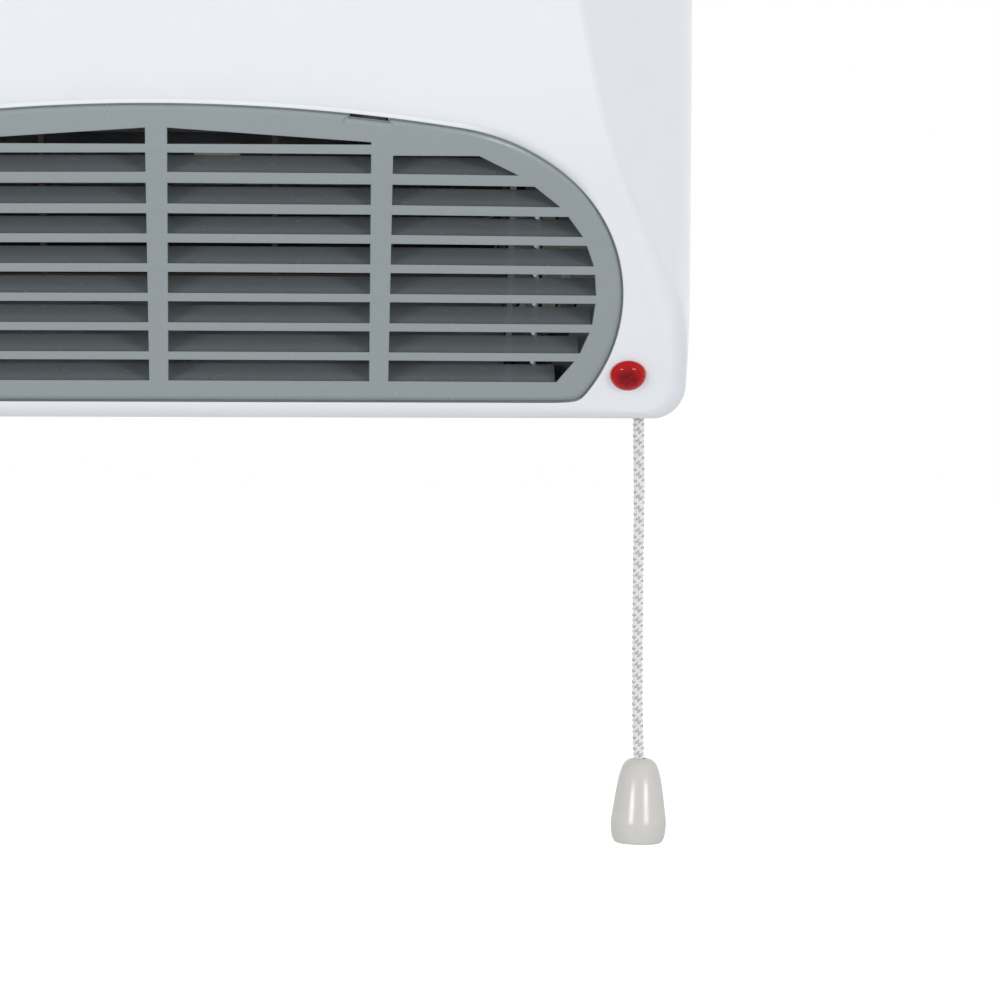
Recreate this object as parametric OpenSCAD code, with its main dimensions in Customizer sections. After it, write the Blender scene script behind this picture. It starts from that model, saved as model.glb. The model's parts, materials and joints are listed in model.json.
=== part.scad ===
// Bathroom wall fan heater: a white moulded casing with a grey outlet grille,
// a cross-flow blower, a wire heating element and a pull-cord switch.
// +Z is up, the front faces -Y and the wall is the plane y = 0.
// The origin is the centre of the four wall screw holes.

/* [Casing] */
// Width of the casing
body_w = 279; // [274:0.5:300]
// Height of the casing
body_h = 201; // [196:1:215]
// Wall of the casing
wall_t = 2.5; // [2:0.1:3]
// Depth of the front at the bottom edge
bottom_depth = 53; // [50:1:56]
// Lean of the front around the grille
lower_tilt = 35.5; // [34:0.5:37]
// Lean of the front above the grille
upper_tilt = 20; // [17:1:23]
// Height of the bend between the two above the bottom
knee_h = 76.7; // [74:0.1:80]
// Radius of that bend
knee_r = 110; // [80:5:150]
// Height at which the top of the front starts to roll back
crown_h = 110.5; // [104:0.5:118]
// Radius of the rolled top of the front
crown_r = 110; // [100:5:140]
// Depth of the sides where the flanks start
side_depth = 63.6; // [62:0.2:66]
// Slope of the flanks beside the front
flank_slope = 60.2; // [59:0.2:62]
// Corner radius at the bottom
low_corner_r = 10; // [8:0.5:12]
// Corner radius at the top
top_corner_r = 20; // [16:1:26]
// Narrowing of each side at the bottom edge
waist = 0.9; // [0.4:0.1:1.4]
// Height of that narrowing
waist_h = 40; // [30:1:60]
// Number of air slots in the top
slot_count = 25; // [15:2:27]
// Pitch of the air slots
slot_pitch = 8; // [7:0.5:9]
// Width of an air slot
slot_w = 3.6; // [2.5:0.1:4.5]
// Length of an air slot
slot_l = 56; // [40:1:60]

/* [Outlet grille] */
// Distance of the grille opening from the sides of the casing
open_in = 18.9; // [18:0.1:20]
// Height of the widest line of the opening above the bottom
open_h = 32.65; // [32:0.05:34]
// Height of the flat bottom of the opening above the bottom
open_low = 4.55; // [4.4:0.05:5.2]
// Radius of the sides of the opening
side_r = 42.2; // [40:0.1:44]
// Radius of its shoulders
shoulder_r = 58; // [54:0.5:62]
// Direction in which a side runs into a shoulder
shoulder_a = 49.2; // [47:0.2:51]
// Direction in which a shoulder runs into the top
top_a = 81.1; // [80.5:0.1:81.5]
// Gap between the grille and the casing
grille_gap = 0.35; // [0.2:0.05:0.6]
// Setback of the grille face from the casing
grille_set = 0.7; // [0.3:0.1:1.2]
// Distance of the louvres' ends from the sides of the opening
pane_in = 7.1; // [6.5:0.1:8]
// Thickness of the grille face
grille_t = 2.2; // [1.8:0.1:3]
// Depth of the ribs behind the grille face
rib_depth = 11; // [9:0.5:12]
// Height of a bar face
bar_h = 2.25; // [2:0.05:3]
// Extra height of the uppermost louvre bar's face
bar_gain = 0.65; // [0:0.05:0.8]
// Pitch of the bars
bar_pitch = 7.93; // [7.5:0.01:8.2]
// Extra pitch of the uppermost row
row_gain = 0.35; // [0:0.05:0.5]
// Number of bars under the top bar
bar_count = 7; // [6:1:7]
// Height of the lowest slot above the bottom
slot_h = 10.4; // [10:0.1:11]
// Gap under the top bar
top_gap = 5; // [4:0.1:6]
// Rise of a louvre blade behind its bar
blade_rise = 4.7; // [4:0.1:5]
// Depth of a louvre blade
blade_depth = 8.5; // [6:0.1:9]
// Thickness of a louvre blade
blade_t = 1.2; // [1:0.1:1.6]
// Width of an upright at the bottom
upright_w = 5; // [4:0.1:6]
// Growth of that width towards the top
upright_gain = 0.6; // [0:0.1:1]
// Spacing of the uprights
upright_x = 57.5; // [50:0.5:60]
// Place of the thin stiffening ribs
stiff_x = 98.5; // [94:0.5:102]

/* [Wall mount] */
// Distance of the wall screws from the sides of the casing
mount_in = 27.5; // [25:0.5:30]
// Distance of the wall screws from its top and bottom
mount_up = 14.5; // [13:0.5:18]
// Wall screw holes
mount_d = 5; // [4:0.1:6]
// Thickness of the back plate
plate_t = 3; // [2.5:0.1:4]
// Height of the bosses on the back plate
boss_h = 5; // [4:0.5:6]
// Bore of the cable grommet
cable_d = 8; // [6.5:0.1:9]

/* [Blower] */
// Diameter of the cross-flow wheel
wheel_d = 60; // [56:1:62]
// Room between the end of the cross-flow wheel and the side of the casing
wheel_room = 51.5; // [51:0.5:58]
// Number of wheel blades
vane_count = 24; // [16:1:28]
// Distance of the fan axis from the wall
fan_depth = 50; // [49:0.5:52]
// Height of the fan axis above the bottom
fan_h = 130.5; // [129:0.5:132]
// Diameter of the fan shaft
shaft_d = 6; // [5:0.1:6.5]
// Running clearance of shafts and pins, on the radius
run_gap = 0.05; // [0.02:0.01:0.09]
// Clearance between parts that lie beside each other
gap = 0.3; // [0.2:0.05:0.4]
// Sheet metal of the blower
sheet_t = 1.5; // [1:0.1:2]
// Thickness of the motor laminations
stack_t = 18; // [14:1:20]

/* [Heating element] */
// Length of the element frame along the grille
element_h = 58; // [50:1:60]
// Thickness of the element frame
element_t = 14; // [12:0.5:16]

/* [Pull switch] */
// Distance of the cord from the side of the casing
cord_in = 12.1; // [12:0.1:13]
// Distance of the cord from the wall
cord_depth = 29; // [28:0.1:30]
// Diameter of the cord
cord_d = 2.9; // [2.4:0.1:3]
// Travel of the cord
pull_travel = 8; // [6:0.5:8]
// Length of the switch lever
lever_l = 20; // [19:0.5:22]
// Height of the lever pivot above the bottom
pivot_h = 36.5; // [35:0.5:38]
// Visible length of the cord
cord_hang = 92.6; // [80:0.2:120]
// Largest diameter of the knob
knob_d = 14.8; // [12:0.1:18]
// Height of the knob
knob_h = 22.7; // [18:0.1:28]

/* [Indicator] */
// Distance of the indicator from the side of the casing
lamp_in = 16.8; // [16:0.1:18]
// Height of the indicator above the bottom
lamp_h = 12.5; // [12:0.1:13]
// Diameter of the indicator lens
lamp_d = 9.4; // [8.6:0.1:10]

/* [Hidden] */
$fn = 64;
eps = 0.01;
white = [0.93, 0.94, 0.95];
grey = [0.58, 0.62, 0.63];
steel = [0.72, 0.73, 0.75];
dark_steel = [0.35, 0.36, 0.38];
black = [0.12, 0.12, 0.12];
brass = [0.80, 0.66, 0.32];
mica = [0.72, 0.66, 0.52];

half_w = body_w/2;
z_bot = -body_h/2;
z_top = body_h/2;
mount_w = body_w - 2*mount_in;
mount_h = body_h - 2*mount_up;
wheel_l = body_w - 2*wheel_room;
fan_z = z_bot + fan_h;
cord_x = half_w - cord_in;
lamp_x = half_w - lamp_in;

// Side view of the front: two straight leans joined by a bend, and a rolled top.
z_knee = z_bot + knee_h;
knee_depth = bottom_depth + knee_h*tan(lower_tilt);
knee_len = knee_r*tan((lower_tilt - upper_tilt)/2);
bend_start = z_knee - knee_len*cos(lower_tilt);
bend_end = z_knee + knee_len*cos(upper_tilt);
bend_z = bend_start + knee_r*sin(lower_tilt);
bend_y = bottom_depth + (bend_start - z_bot)*tan(lower_tilt) - knee_r*cos(lower_tilt);
crown_start = z_bot + crown_h;
crown_depth = knee_depth + (crown_start - z_knee)*tan(upper_tilt);
crown_z = crown_start + crown_r*sin(upper_tilt);
crown_y = crown_depth - crown_r*cos(upper_tilt);

function tilt(z) = z < bend_start ? lower_tilt
  : z < bend_end ? asin((bend_z - z)/knee_r)
  : z < crown_start ? upper_tilt
  : asin((crown_z - z)/crown_r);
function front(z) = z < bend_start ? bottom_depth + (z - z_bot)*tan(lower_tilt)
  : z < bend_end ? bend_y + knee_r*cos(tilt(z))
  : z < crown_start ? knee_depth + (z - z_knee)*tan(upper_tilt)
  : crown_y + crown_r*cos(tilt(z));

// Flank beside the front, and the soft edge where the two meet.
crease_r = 3.5;
crease_low_r = 10;
crease_low_z = z_bot + 70;
crease_fade = 60;
function flank(x) = side_depth + (half_w - abs(x))*tan(flank_slope);
function clamp01(v) = max(0, min(1, v));
function crease(z) = crease_r + crease_low_r*pow(clamp01((crease_low_z - z)/crease_fade), 2);
function soft_min(a, b, k) = let(h = max(k - abs(a - b), 0)/k) min(a, b) - h*h*k/4;
function skin(x, z, t = 0) =
  soft_min(front(z) - t/cos(tilt(z)), flank(x) - t/cos(flank_slope), crease(z));
function mix(a, b, t) = a + (b - a)*t;

// Outline of the casing against the wall: rows of [x, z, nx, nz].
low_steps = 7;
low_corner_steps = 6;
side_steps = 16;
top_corner_steps = 6;
slot_half = (slot_count - 1)/2;
slot_edges = concat([for (i = [slot_half:-1:1], s = [1, -1]) i*slot_pitch + s*slot_w/2], [slot_w/2]);
function side_x(z) = half_w - waist*pow(clamp01((z_bot + waist_h - z)/waist_h), 2);
function half_outline(inset) =
  let(xs = side_x(z_bot + low_corner_r) - inset, rb = low_corner_r - inset,
      rt = top_corner_r - inset, side_h = body_h - low_corner_r - top_corner_r)
  concat(
    [for (i = [0:low_steps - 1]) [(xs - rb)*i/low_steps, z_bot + inset, 0, -1]],
    [for (i = [0:low_corner_steps - 1]) let(a = -90 + 90*i/low_corner_steps)
      [xs - rb + rb*cos(a), z_bot + inset + rb + rb*sin(a), cos(a), sin(a)]],
    [for (i = [0:side_steps - 1]) let(z = z_bot + low_corner_r + side_h*i/side_steps)
      [side_x(z) - inset, z, 1, 0]],
    [for (i = [0:top_corner_steps - 1]) let(a = 90*i/top_corner_steps)
      [half_w - inset - rt + rt*cos(a), z_top - inset - rt + rt*sin(a), cos(a), sin(a)]],
    [for (x = concat([half_w - top_corner_r], slot_edges)) [x, z_top - inset, 0, 1]]);
function outline(inset) = let(h = half_outline(inset))
  concat(h, [for (i = [len(h) - 1:-1:1]) [-h[i][0], h[i][1], -h[i][2], h[i][3]]]);
function outline_xz(inset) = [for (p = outline(inset)) [p[0], p[1]]];

// Outline of the grille opening: a wide arc at the top, shoulders and sides of smaller
// radii that run into each other, and a flat bottom.
z_open = z_bot + open_h;
open_a = half_w - open_in;
open_cut = open_h - open_low;
open_blend = 160;
function dir(a) = [cos(a), sin(a)];
side_c = [open_a - side_r, 0];
shoulder_c = side_c + (side_r - shoulder_r)*dir(shoulder_a);
top_r = shoulder_r + shoulder_c[0]/cos(top_a);
top_c = [0, shoulder_c[1] + (shoulder_r - top_r)*sin(top_a)];
open_b = top_c[1] + top_r;
function angle_of(p) = atan2(p[1], p[0]);
function arc_from(u, c, r) = let(d = r*r - c*c + pow(u*c, 2)) d < 0 ? 1e4 : u*c + sqrt(d);
function open_r(a, inset) =
  let(u = [abs(cos(a)), sin(a)], r_low = u[1] < -0.001 ? (open_cut - inset)/-u[1] : 1e4,
      r_arc = angle_of(u) > angle_of(shoulder_c + (shoulder_r - inset)*dir(top_a))
          ? arc_from(u, top_c, top_r - inset)
        : angle_of(u) > angle_of(side_c + (side_r - inset)*dir(shoulder_a))
          ? arc_from(u, shoulder_c, shoulder_r - inset)
        : arc_from(u, side_c, side_r - inset),
      least = min(r_arc, r_low), most = max(r_arc, r_low))
  least*pow(1 + pow(least/most, open_blend), -1/open_blend);
function open_toward(p, inset) = let(a = atan2(p[1] - z_open, p[0]), r = open_r(a, inset))
  [r*cos(a), z_open + r*sin(a)];
function open_xz(inset) = [for (p = outline(0)) open_toward(p, inset)];

// Rounded edge of the casing: how far it reaches in and how far it drops.
side_round = [6, 14];
top_round = [14, 22];
low_round = [4.2, 5];
function round_of(n, k) = side_round[k]*n[0]*n[0] + (n[1] > 0 ? top_round[k] : low_round[k])*n[1]*n[1];

// Points from the opening to the outline, over the skin set back by t; mouth is the outline
// point towards which the opening is met.
crease_half = 3;
function crease_at(p, q, lo = 0, hi = 1, n = 16) = n == 0 ? (lo + hi)/2
  : let(m = (lo + hi)/2, c = mix(p, q, m))
    front(c[1]) < flank(c[0]) ? crease_at(p, q, m, hi, n - 1) : crease_at(p, q, lo, m, n - 1);
function spoke(q, t, steps, mouth) =
  let(p = open_toward(mouth, 0), e = [q[0], q[1]], len_pe = norm(e - p), u = (e - p)/len_pe,
      n = [q[2], q[3]], facing = max(0.3, u*n),
      reach = (round_of(n, 0) - t)/facing/len_pe, drop = round_of(n, 1) - t,
      edge = 1 - reach, fold = crease_at(p, e), d = crease_half/len_pe,
      f0 = min(fold - d, edge - 0.02), f1 = min(fold + d, edge - 0.01),
      at = concat([for (i = [0:steps[0] - 1]) f0*i/steps[0]],
        [for (i = [0:steps[1] - 1]) mix(f0, f1, i/steps[1])],
        [for (i = [0:steps[2] - 1]) mix(f1, edge, i/steps[2])],
        [for (i = [0:steps[3]]) edge + reach*sin(90*i/steps[3])]))
  [for (s = at) let(c = mix(p, e, s), f = s <= edge ? 0 : (s - edge)/reach)
    [c[0], -skin(c[0], c[1], t) + drop*(1 - sqrt(max(0, 1 - f*f))), c[1]]];

outer_steps = [6, 4, 2, 5];
inner_steps = [5, 2, 1, 3];
slot_back = 26;
slot_front = slot_back + slot_l;
// The casing as one closed skin. Each loop runs from the opening over the front to the wall
// and back inside; the loops at the slot edges have two more points outside and two inside.
module shell() {
  o = outline(0);
  i = outline(wall_t);
  count = len(o);
  first = low_steps + low_corner_steps + side_steps + top_corner_steps + 1;
  slotted = 2*len(slot_edges);
  function has(k) = k >= first && k < first + slotted;
  function row(p, k, y) = has(k) ? [for (v = y) [p[0], -v, p[1]]] : [];
  loops = [for (k = [0:count - 1])
    let(in_pts = spoke(i[k], wall_t, inner_steps, o[k]), m = len(in_pts))
    concat(spoke(o[k], 0, outer_steps, o[k]), row(o[k], k, [slot_front, slot_back]),
      [[o[k][0], 0, o[k][1]], [i[k][0], 0, i[k][1]]], row(i[k], k, [slot_back, slot_front]),
      [for (j = [m - 1:-1:0]) in_pts[j]])];
  n_out = len(spoke(o[0], 0, outer_steps, o[0]));
  n_in = len(spoke(i[0], wall_t, inner_steps, o[0]));
  function start(k) = k*(n_out + n_in + 2) + 4*max(0, min(slotted, k - first));
  function extra(k) = has(k) ? 2 : 0;
  function back(k) = start(k) + n_out + extra(k);
  function inside(k) = back(k) + 2 + extra(k);
  // Points of one loop from the front edge to the wall, outside and then inside.
  function out_wall(k) = [for (r = [-1:extra(k)]) start(k) + n_out + r];
  function in_wall(k) = [for (r = [0:extra(k) + 1]) back(k) + 1 + r];
  function strip(a, b) = len(a) == len(b)
    ? [for (r = [0:len(a) - 2]) each [[a[r], a[r + 1], b[r + 1]], [a[r], b[r + 1], b[r]]]]
    : len(a) < len(b)
      ? concat([[a[0], a[1], b[len(b) - 1]]], [for (r = [len(b) - 2:-1:0]) [a[0], b[r + 1], b[r]]])
      : concat([[b[0], a[len(a) - 1], b[1]]], [for (r = [len(a) - 2:-1:0]) [b[0], a[r], a[r + 1]]]);
  function slot(ao, bo, ai, bi) = concat(
    strip([ao[0], ao[1]], [bo[0], bo[1]]), strip([ao[2], ao[3]], [bo[2], bo[3]]),
    strip([ai[0], ai[1]], [bi[0], bi[1]]), strip([ai[2], ai[3]], [bi[2], bi[3]]),
    [[ao[1], ai[2], bi[2], bo[1]], [ai[1], ao[2], bo[2], bi[1]],
     [ao[1], ao[2], ai[1], ai[2]], [bo[1], bi[2], bi[1], bo[2]]]);
  function run(at, n) = [for (j = [0:n - 1]) at + j];
  faces = [for (k = [0:count - 1]) let(n = (k + 1)%count, open = has(k) && has(n) && (k - first)%2 == 0)
    each concat(
      strip(run(start(k), n_out), run(start(n), n_out)),
      strip(run(inside(k), n_in), run(inside(n), n_in)),
      open ? slot(out_wall(k), out_wall(n), in_wall(k), in_wall(n))
        : concat(strip(out_wall(k), out_wall(n)), strip(in_wall(k), in_wall(n))),
      [[back(k), back(k) + 1, back(n) + 1, back(n)],
       [inside(k) + n_in - 1, start(k), start(n), inside(n) + n_in - 1]])];
  polyhedron([for (l = loops) each l], [for (f = faces) [for (r = [len(f) - 1:-1:0]) f[r]]]);
}

// Extrudes a shape drawn in y and z along x, or one drawn in x and z along y.
module across(x0, x1) rotate([90, 0, 90]) translate([0, 0, x0]) linear_extrude(x1 - x0) children();
module through(y0, y1) rotate([90, 0, 0]) translate([0, 0, -y1]) linear_extrude(y1 - y0) children();
module rod_x(x0, x1, d) translate([x0, 0, 0]) rotate([0, 90, 0]) cylinder(d = d, h = x1 - x0);
module rod_y(y0, y1, d) translate([0, y1, 0]) rotate([90, 0, 0]) cylinder(d = d, h = y1 - y0);

// Round bar swept along points; ref is a direction that the path never takes.
function unit(v) = v/norm(v);
function tangent(p, i) = unit(i == 0 ? p[1] - p[0] : i == len(p) - 1 ? p[i] - p[i - 1]
  : unit(p[i + 1] - p[i]) + unit(p[i] - p[i - 1]));
module tube(path, d, sides, ref) {
  rings = len(path);
  points = [for (i = [0:rings - 1]) let(t = tangent(path, i), u = unit(cross(t, ref)), v = cross(t, u))
    for (k = [0:sides - 1]) path[i] + d/2*(u*cos(360*k/sides) + v*sin(360*k/sides))];
  last = (rings - 1)*sides;
  faces = concat(
    [for (i = [0:rings - 2], k = [0:sides - 1])
      let(a = i*sides + k, b = i*sides + (k + 1)%sides, c = b + sides, d = a + sides)
      each [[a, c, b], [a, d, c]]],
    [for (k = [1:sides - 2]) [0, k, k + 1]],
    [for (k = [1:sides - 2]) [last, last + k + 1, last + k]]);
  polyhedron(points, faces);
}
function bend(a, b, c, d, t) = 0.5*(2*b + (c - a)*t + (2*a - 5*b + 4*c - d)*t*t + (3*b - a - 3*c + d)*t*t*t);
function smooth(p, steps) = let(m = len(p) - 1)
  concat([for (i = [0:m - 1], k = [0:steps - 1])
    bend(p[max(0, i - 1)], p[i], p[i + 1], p[min(m, i + 2)], k/steps)], [p[m]]);

// ---- Casing ----
hole_len = 5;
screw_d = 3;
screw_at_low = 60;
screw_at_top = 100;
screw_y = 12;
lamp_stem_d = lamp_d - 1.4;
eyelet_d = 5.2;

// Places of the four casing screws: two from below and two from above.
module at_housing_screws() for (s = [-1, 1]) {
  translate([s*screw_at_low, -screw_y, z_bot]) children();
  translate([s*screw_at_top, -screw_y, z_top]) mirror([0, 0, 1]) children();
}
lamp_z = z_bot + lamp_h;
module at_lamp() translate([lamp_x, -front(lamp_z), lamp_z]) rotate([lower_tilt, 0, 0]) children();
module at_cord(z) translate([cord_x, -cord_depth, z]) children();

module front_housing() color(white) difference() {
  shell();
  at_housing_screws() translate([0, 0, -1]) cylinder(d = screw_d + 0.4, h = hole_len);
  at_lamp() rod_y(-3, 8, lamp_stem_d + 0.2);
  at_cord(z_bot - 1) cylinder(d = eyelet_d + 0.2, h = hole_len);
}

plate_inset = wall_t + gap + waist;
plate_rim_h = 9;
plate_rim_t = 2;
module plate_shape(inset) polygon(outline_xz(plate_inset + inset));
grommet_x = half_w - 21;
grommet_z = z_bot + 152.5;
grommet_hole = cable_d + 4;
chassis_x = wheel_l/2 + 10;
chassis_z = [z_bot + 150.5, z_bot + 26.5];
switch_back = 20;
switch_z = [z_bot + 58.5, z_bot + 22.5];
post_x = cord_x - 19.4;
post_z = [switch_z[0] - 6, switch_z[1] + 6];
module back_plate() color(white) difference() {
  union() {
    through(-plate_t, 0) plate_shape(0);
    difference() {
      through(-plate_rim_h, -plate_t + 1) plate_shape(0);
      through(-plate_rim_h - 1, 1) plate_shape(plate_rim_t);
    }
    for (s = [-1, 1]) {
      for (z = chassis_z) translate([s*chassis_x, 0, z]) rod_y(-plate_t - boss_h, -plate_t + 1, 8);
    }
    at_housing_screws() translate([-6, -8, wall_t + gap]) cube([12, screw_y - plate_t + 9, 14]);
    for (z = post_z) translate([post_x, 0, z]) rod_y(-switch_back, -plate_t + 1, 8);
  }
  for (x = [-mount_w/2, mount_w/2], z = [-mount_h/2, mount_h/2])
    translate([x, 0, z]) rod_y(-plate_t - 1, 1, mount_d);
  for (s = [-1, 1]) {
    for (z = chassis_z) translate([s*chassis_x, 0, z]) rod_y(-plate_t - boss_h - 1, -1, screw_d + 2*run_gap);
  }
  at_housing_screws() cylinder(d = screw_d + 2*run_gap, h = 15);
  for (z = post_z) translate([post_x, 0, z]) rod_y(-switch_back - 1, -switch_back + 10, screw_d + 2*run_gap);
  translate([grommet_x, 0, grommet_z]) rod_y(-plate_t - 1, 1, grommet_hole);
  for (s = [-1, 1])
    translate([grommet_x + s*clamp_x, 0, clamp_z]) rod_y(-plate_t - 1, 1, screw_d + 2*run_gap);
}

// Pan-head screw along -Z with its head's seat at the origin.
module screw(d, l, head) {
  translate([0, 0, -eps]) cylinder(d = d, h = l + eps);
  translate([0, 0, -2]) difference() {
    cylinder(d1 = head*0.8, d2 = head, h = 2);
    for (a = [0, 90]) rotate(a) translate([-head*0.3, -0.4, -1]) cube([head*0.6, 0.8, 1.9]);
  }
}
module housing_screws() color(steel) at_housing_screws() screw(screw_d, 12, 6);

// ---- Outlet grille ----
z_slot = z_bot + slot_h;
function row_z(i) = z_slot + i*bar_pitch + (i == bar_count ? row_gain : 0);
function face_h(i) = bar_h + bar_gain*pow(i/bar_count, 4);
z_row_top = row_z(bar_count);
z_top_bar = z_row_top + top_gap;
pane_top = z_top_bar - 0.6;
pane_slant = [[2.5, 77.7], [55, 74.1]];
// Ends of the outer openings: each is cut straight between two points of one curve.
pane_a = open_a - pane_in;
pane_b = 50.15;
pane_n = 2.24;
pane_h = 33.4;
function pane_x(z) = pane_a*pow(1 - pow(abs(z - z_bot - pane_h)/pane_b, pane_n), 1/pane_n);
pane_z = [for (i = [0:bar_count])
  each [row_z(i), i == bar_count ? pane_top : row_z(i + 1) - face_h(i + 1)]];
bar_steps = 5;
layer_z = concat([z_bot], [for (i = [0:bar_steps]) mix(bend_start, bend_end, i/bar_steps)]);
module layer(t0, t1) across(-half_w, half_w) polygon(concat(
  [for (z = layer_z) [-front(z) + t0, z]],
  [for (i = [len(layer_z) - 1:-1:0]) [-front(layer_z[i]) + t1, layer_z[i]]]));
module x_band(x0, x1) translate([x0, z_bot]) square([x1 - x0, body_h]);
module z_band(z0, z1) translate([-half_w, z0]) square([body_w, z1 - z0]);

module inner_panes() {
  difference() {
    polygon(concat([for (z = pane_z) [pane_x(z), z]],
      [for (i = [len(pane_z) - 1:-1:0]) [-pane_x(pane_z[i]), pane_z[i]]]));
    x_band(-upright_x, upright_x);
  }
  for (s = [-1, 1]) scale([s, 1]) intersection() {
    polygon([[0, z_slot], [upright_x, z_slot], [upright_x, z_bot + pane_slant[1][1]],
      [pane_slant[1][0], z_bot + pane_slant[1][1]], [pane_slant[0][0], z_bot + pane_slant[0][1]],
      [0, z_bot + pane_slant[0][1]]]);
    x_band(0, half_w);
  }
}
module bars() {
  for (i = [1:bar_count]) z_band(row_z(i) - face_h(i), row_z(i));
  z_band(z_top_bar, z_top_bar + bar_h);
}
module uprights() for (x = [-upright_x, 0, upright_x])
  let(w0 = upright_w/2, w1 = (upright_w + upright_gain)/2)
    polygon([[x - w0, z_bot], [x + w0, z_bot], [x + w0, z_slot], [x + w1, z_top_bar], [x + w1, z_top],
      [x - w1, z_top], [x - w1, z_top_bar], [x - w0, z_slot]]);

module blade(i) {
  z = row_z(i);
  low = z - face_h(i) + 0.5;
  y = -front(z) + grille_set + grille_t;
  polygon([[y - 1, low], [y - 1, z - 0.2], [y, z], [y + blade_depth, z + blade_rise],
    [y + blade_depth + 0.3, z + blade_rise - blade_t], [y + 0.6, z - blade_t - 0.3], [y, low]]);
}
clip_x = 54;
clip_w = 9;
notch_w = 10.5;
notch_h = 1.1;
clip_low_x = 80;
clip_reach = 1.6;
clip_low_reach = 0.6;
clip_seat = wall_t/cos(lower_tilt) + 0.6;
skirt_in = grille_gap + 0.2;
skirt_t = 1.8;
module outlet_grille() color(grey) {
  intersection() {
    layer(grille_set, grille_set + grille_t);
    through(-front(bend_end) - 5, 0) difference() {
      polygon(open_xz(grille_gap));
      difference() {
        inner_panes();
        bars();
        uprights();
      }
      intersection() {
        difference() {
          polygon(open_xz(grille_gap - 1));
          polygon(open_xz(grille_gap + notch_h));
        }
        for (s = [-1, 1]) x_band(s*clip_x - notch_w/2, s*clip_x + notch_w/2);
        z_band(z_open, z_top);
      }
    }
  }
  intersection() {
    layer(grille_set + 1, grille_set + rib_depth);
    through(-front(bend_end) - 5, 0) union() {
      difference() {
        polygon(open_xz(skirt_in));
        polygon(open_xz(skirt_in + skirt_t));
      }
      intersection() {
        polygon(open_xz(grille_gap + 1));
        difference() {
          uprights();
          z_band(z_bot, z_slot - 1);
        }
      }
    }
  }
  intersection() {
    layer(grille_set + grille_t - 0.5, grille_set + rib_depth);
    through(-front(bend_end) - 5, 0) intersection() {
      polygon(open_xz(grille_gap + 1));
      for (s = [-1, 1]) x_band(s*stiff_x - 0.6, s*stiff_x + 0.6);
    }
  }
  intersection() {
    across(-open_a, open_a) for (i = [0:bar_count]) blade(i);
    through(-front(bend_end) - 5, 0) polygon(open_xz(grille_gap + 1));
  }
  intersection() {
    layer(clip_seat, clip_seat + 2.2);
    through(-front(bend_end) - 5, 0) intersection() {
      difference() {
        union() {
          for (s = [-1, 1]) intersection() {
            polygon(open_xz(-clip_reach));
            translate([s*clip_x - clip_w/2, z_open]) square([clip_w, open_b + 5]);
          }
          for (s = [-1, 1]) intersection() {
            polygon(open_xz(-clip_low_reach));
            translate([s*clip_low_x - clip_w/2, z_bot]) square([clip_w, 20]);
          }
        }
        polygon(open_xz(skirt_in + 1));
      }
    }
  }
}

// ---- Indicator ----
lens_wall = 0.9;
module indicator_lens() color([0.8, 0.05, 0.05]) at_lamp() rotate([90, 0, 0]) difference() {
  rotate_extrude() polygon(concat([[0, -9], [lamp_stem_d/2, -9], [lamp_stem_d/2, gap/2], [lamp_d/2, gap/2],
    [lamp_d/2, 1]], [for (i = [1:8]) [lamp_d/2*cos(90*i/8), 1 + 1.5*sin(90*i/8)]]));
  translate([0, 0, -10]) cylinder(d = lamp_stem_d - 2*lens_wall, h = 10);
}
module indicator_lamp() color([0.95, 0.75, 0.55]) at_lamp() rotate([90, 0, 0]) rotate_extrude()
  polygon([[0, -14], [2.2, -14], [2.2, -9 - gap], [lamp_stem_d/2, -9 - gap], [lamp_stem_d/2, -9],
    [lamp_stem_d/2 - lens_wall - gap, -9], [lamp_stem_d/2 - lens_wall - gap, -2], [0, -1]]);
module indicator_clip() color(steel) at_lamp() rotate([90, 0, 0]) difference() {
  translate([0, 0, -wall_t - 0.15 - 0.8]) cylinder(d = lamp_stem_d + 4, h = 0.8);
  translate([0, 0, -wall_t - 2]) cylinder(d = lamp_stem_d + 2*run_gap, h = 4);
}

// ---- Cord outlet ----
eyelet_bore = cord_d + 0.9;
eyelet_grip = wall_t + 0.5;
module cord_eyelet() color(white) at_cord(z_bot) difference() {
  union() {
    translate([0, 0, -1]) cylinder(d1 = eyelet_d + 1.4, d2 = eyelet_d + 2, h = 1);
    translate([0, 0, -eps]) cylinder(d = eyelet_d, h = eyelet_grip + eps);
    translate([0, 0, eyelet_grip]) cylinder(d1 = eyelet_d + 1, d2 = eyelet_d - 0.6, h = 1.8);
  }
  translate([0, 0, -2]) cylinder(d = eyelet_bore, h = wall_t + 6);
}

// ---- Blower ----
seat_y = plate_t + boss_h;
plate_x = wheel_l/2 + 3;
scroll_x = plate_x - gap;
duct_low = [46, z_bot + 10.5];
duct_lean = 16;
scroll_gap = 3;
scroll_grow = 0.075;
scroll_start = 52;
function scroll_r(a) = wheel_d/2 + scroll_gap + scroll_grow*(scroll_start - a);
function scroll_pt(a, t) = [-fan_depth + (scroll_r(a) + t)*cos(a), fan_z + (scroll_r(a) + t)*sin(a)];
scroll_steps = 12;
scroll_end = scroll_pt(-duct_lean, 0);
duct_len = (scroll_end[1] - duct_low[1])/cos(duct_lean);
function duct_pt(t) = scroll_pt(-duct_lean, t) + duct_len*[-sin(duct_lean), -cos(duct_lean)];
module blower_scroll() color(steel) across(-scroll_x, scroll_x) polygon(concat(
  [for (i = [0:scroll_steps]) scroll_pt(mix(scroll_start, -duct_lean, i/scroll_steps), 0)],
  [duct_pt(0), duct_pt(sheet_t)],
  [for (i = [scroll_steps:-1:0]) scroll_pt(mix(scroll_start, -duct_lean, i/scroll_steps), sheet_t)]));

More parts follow.
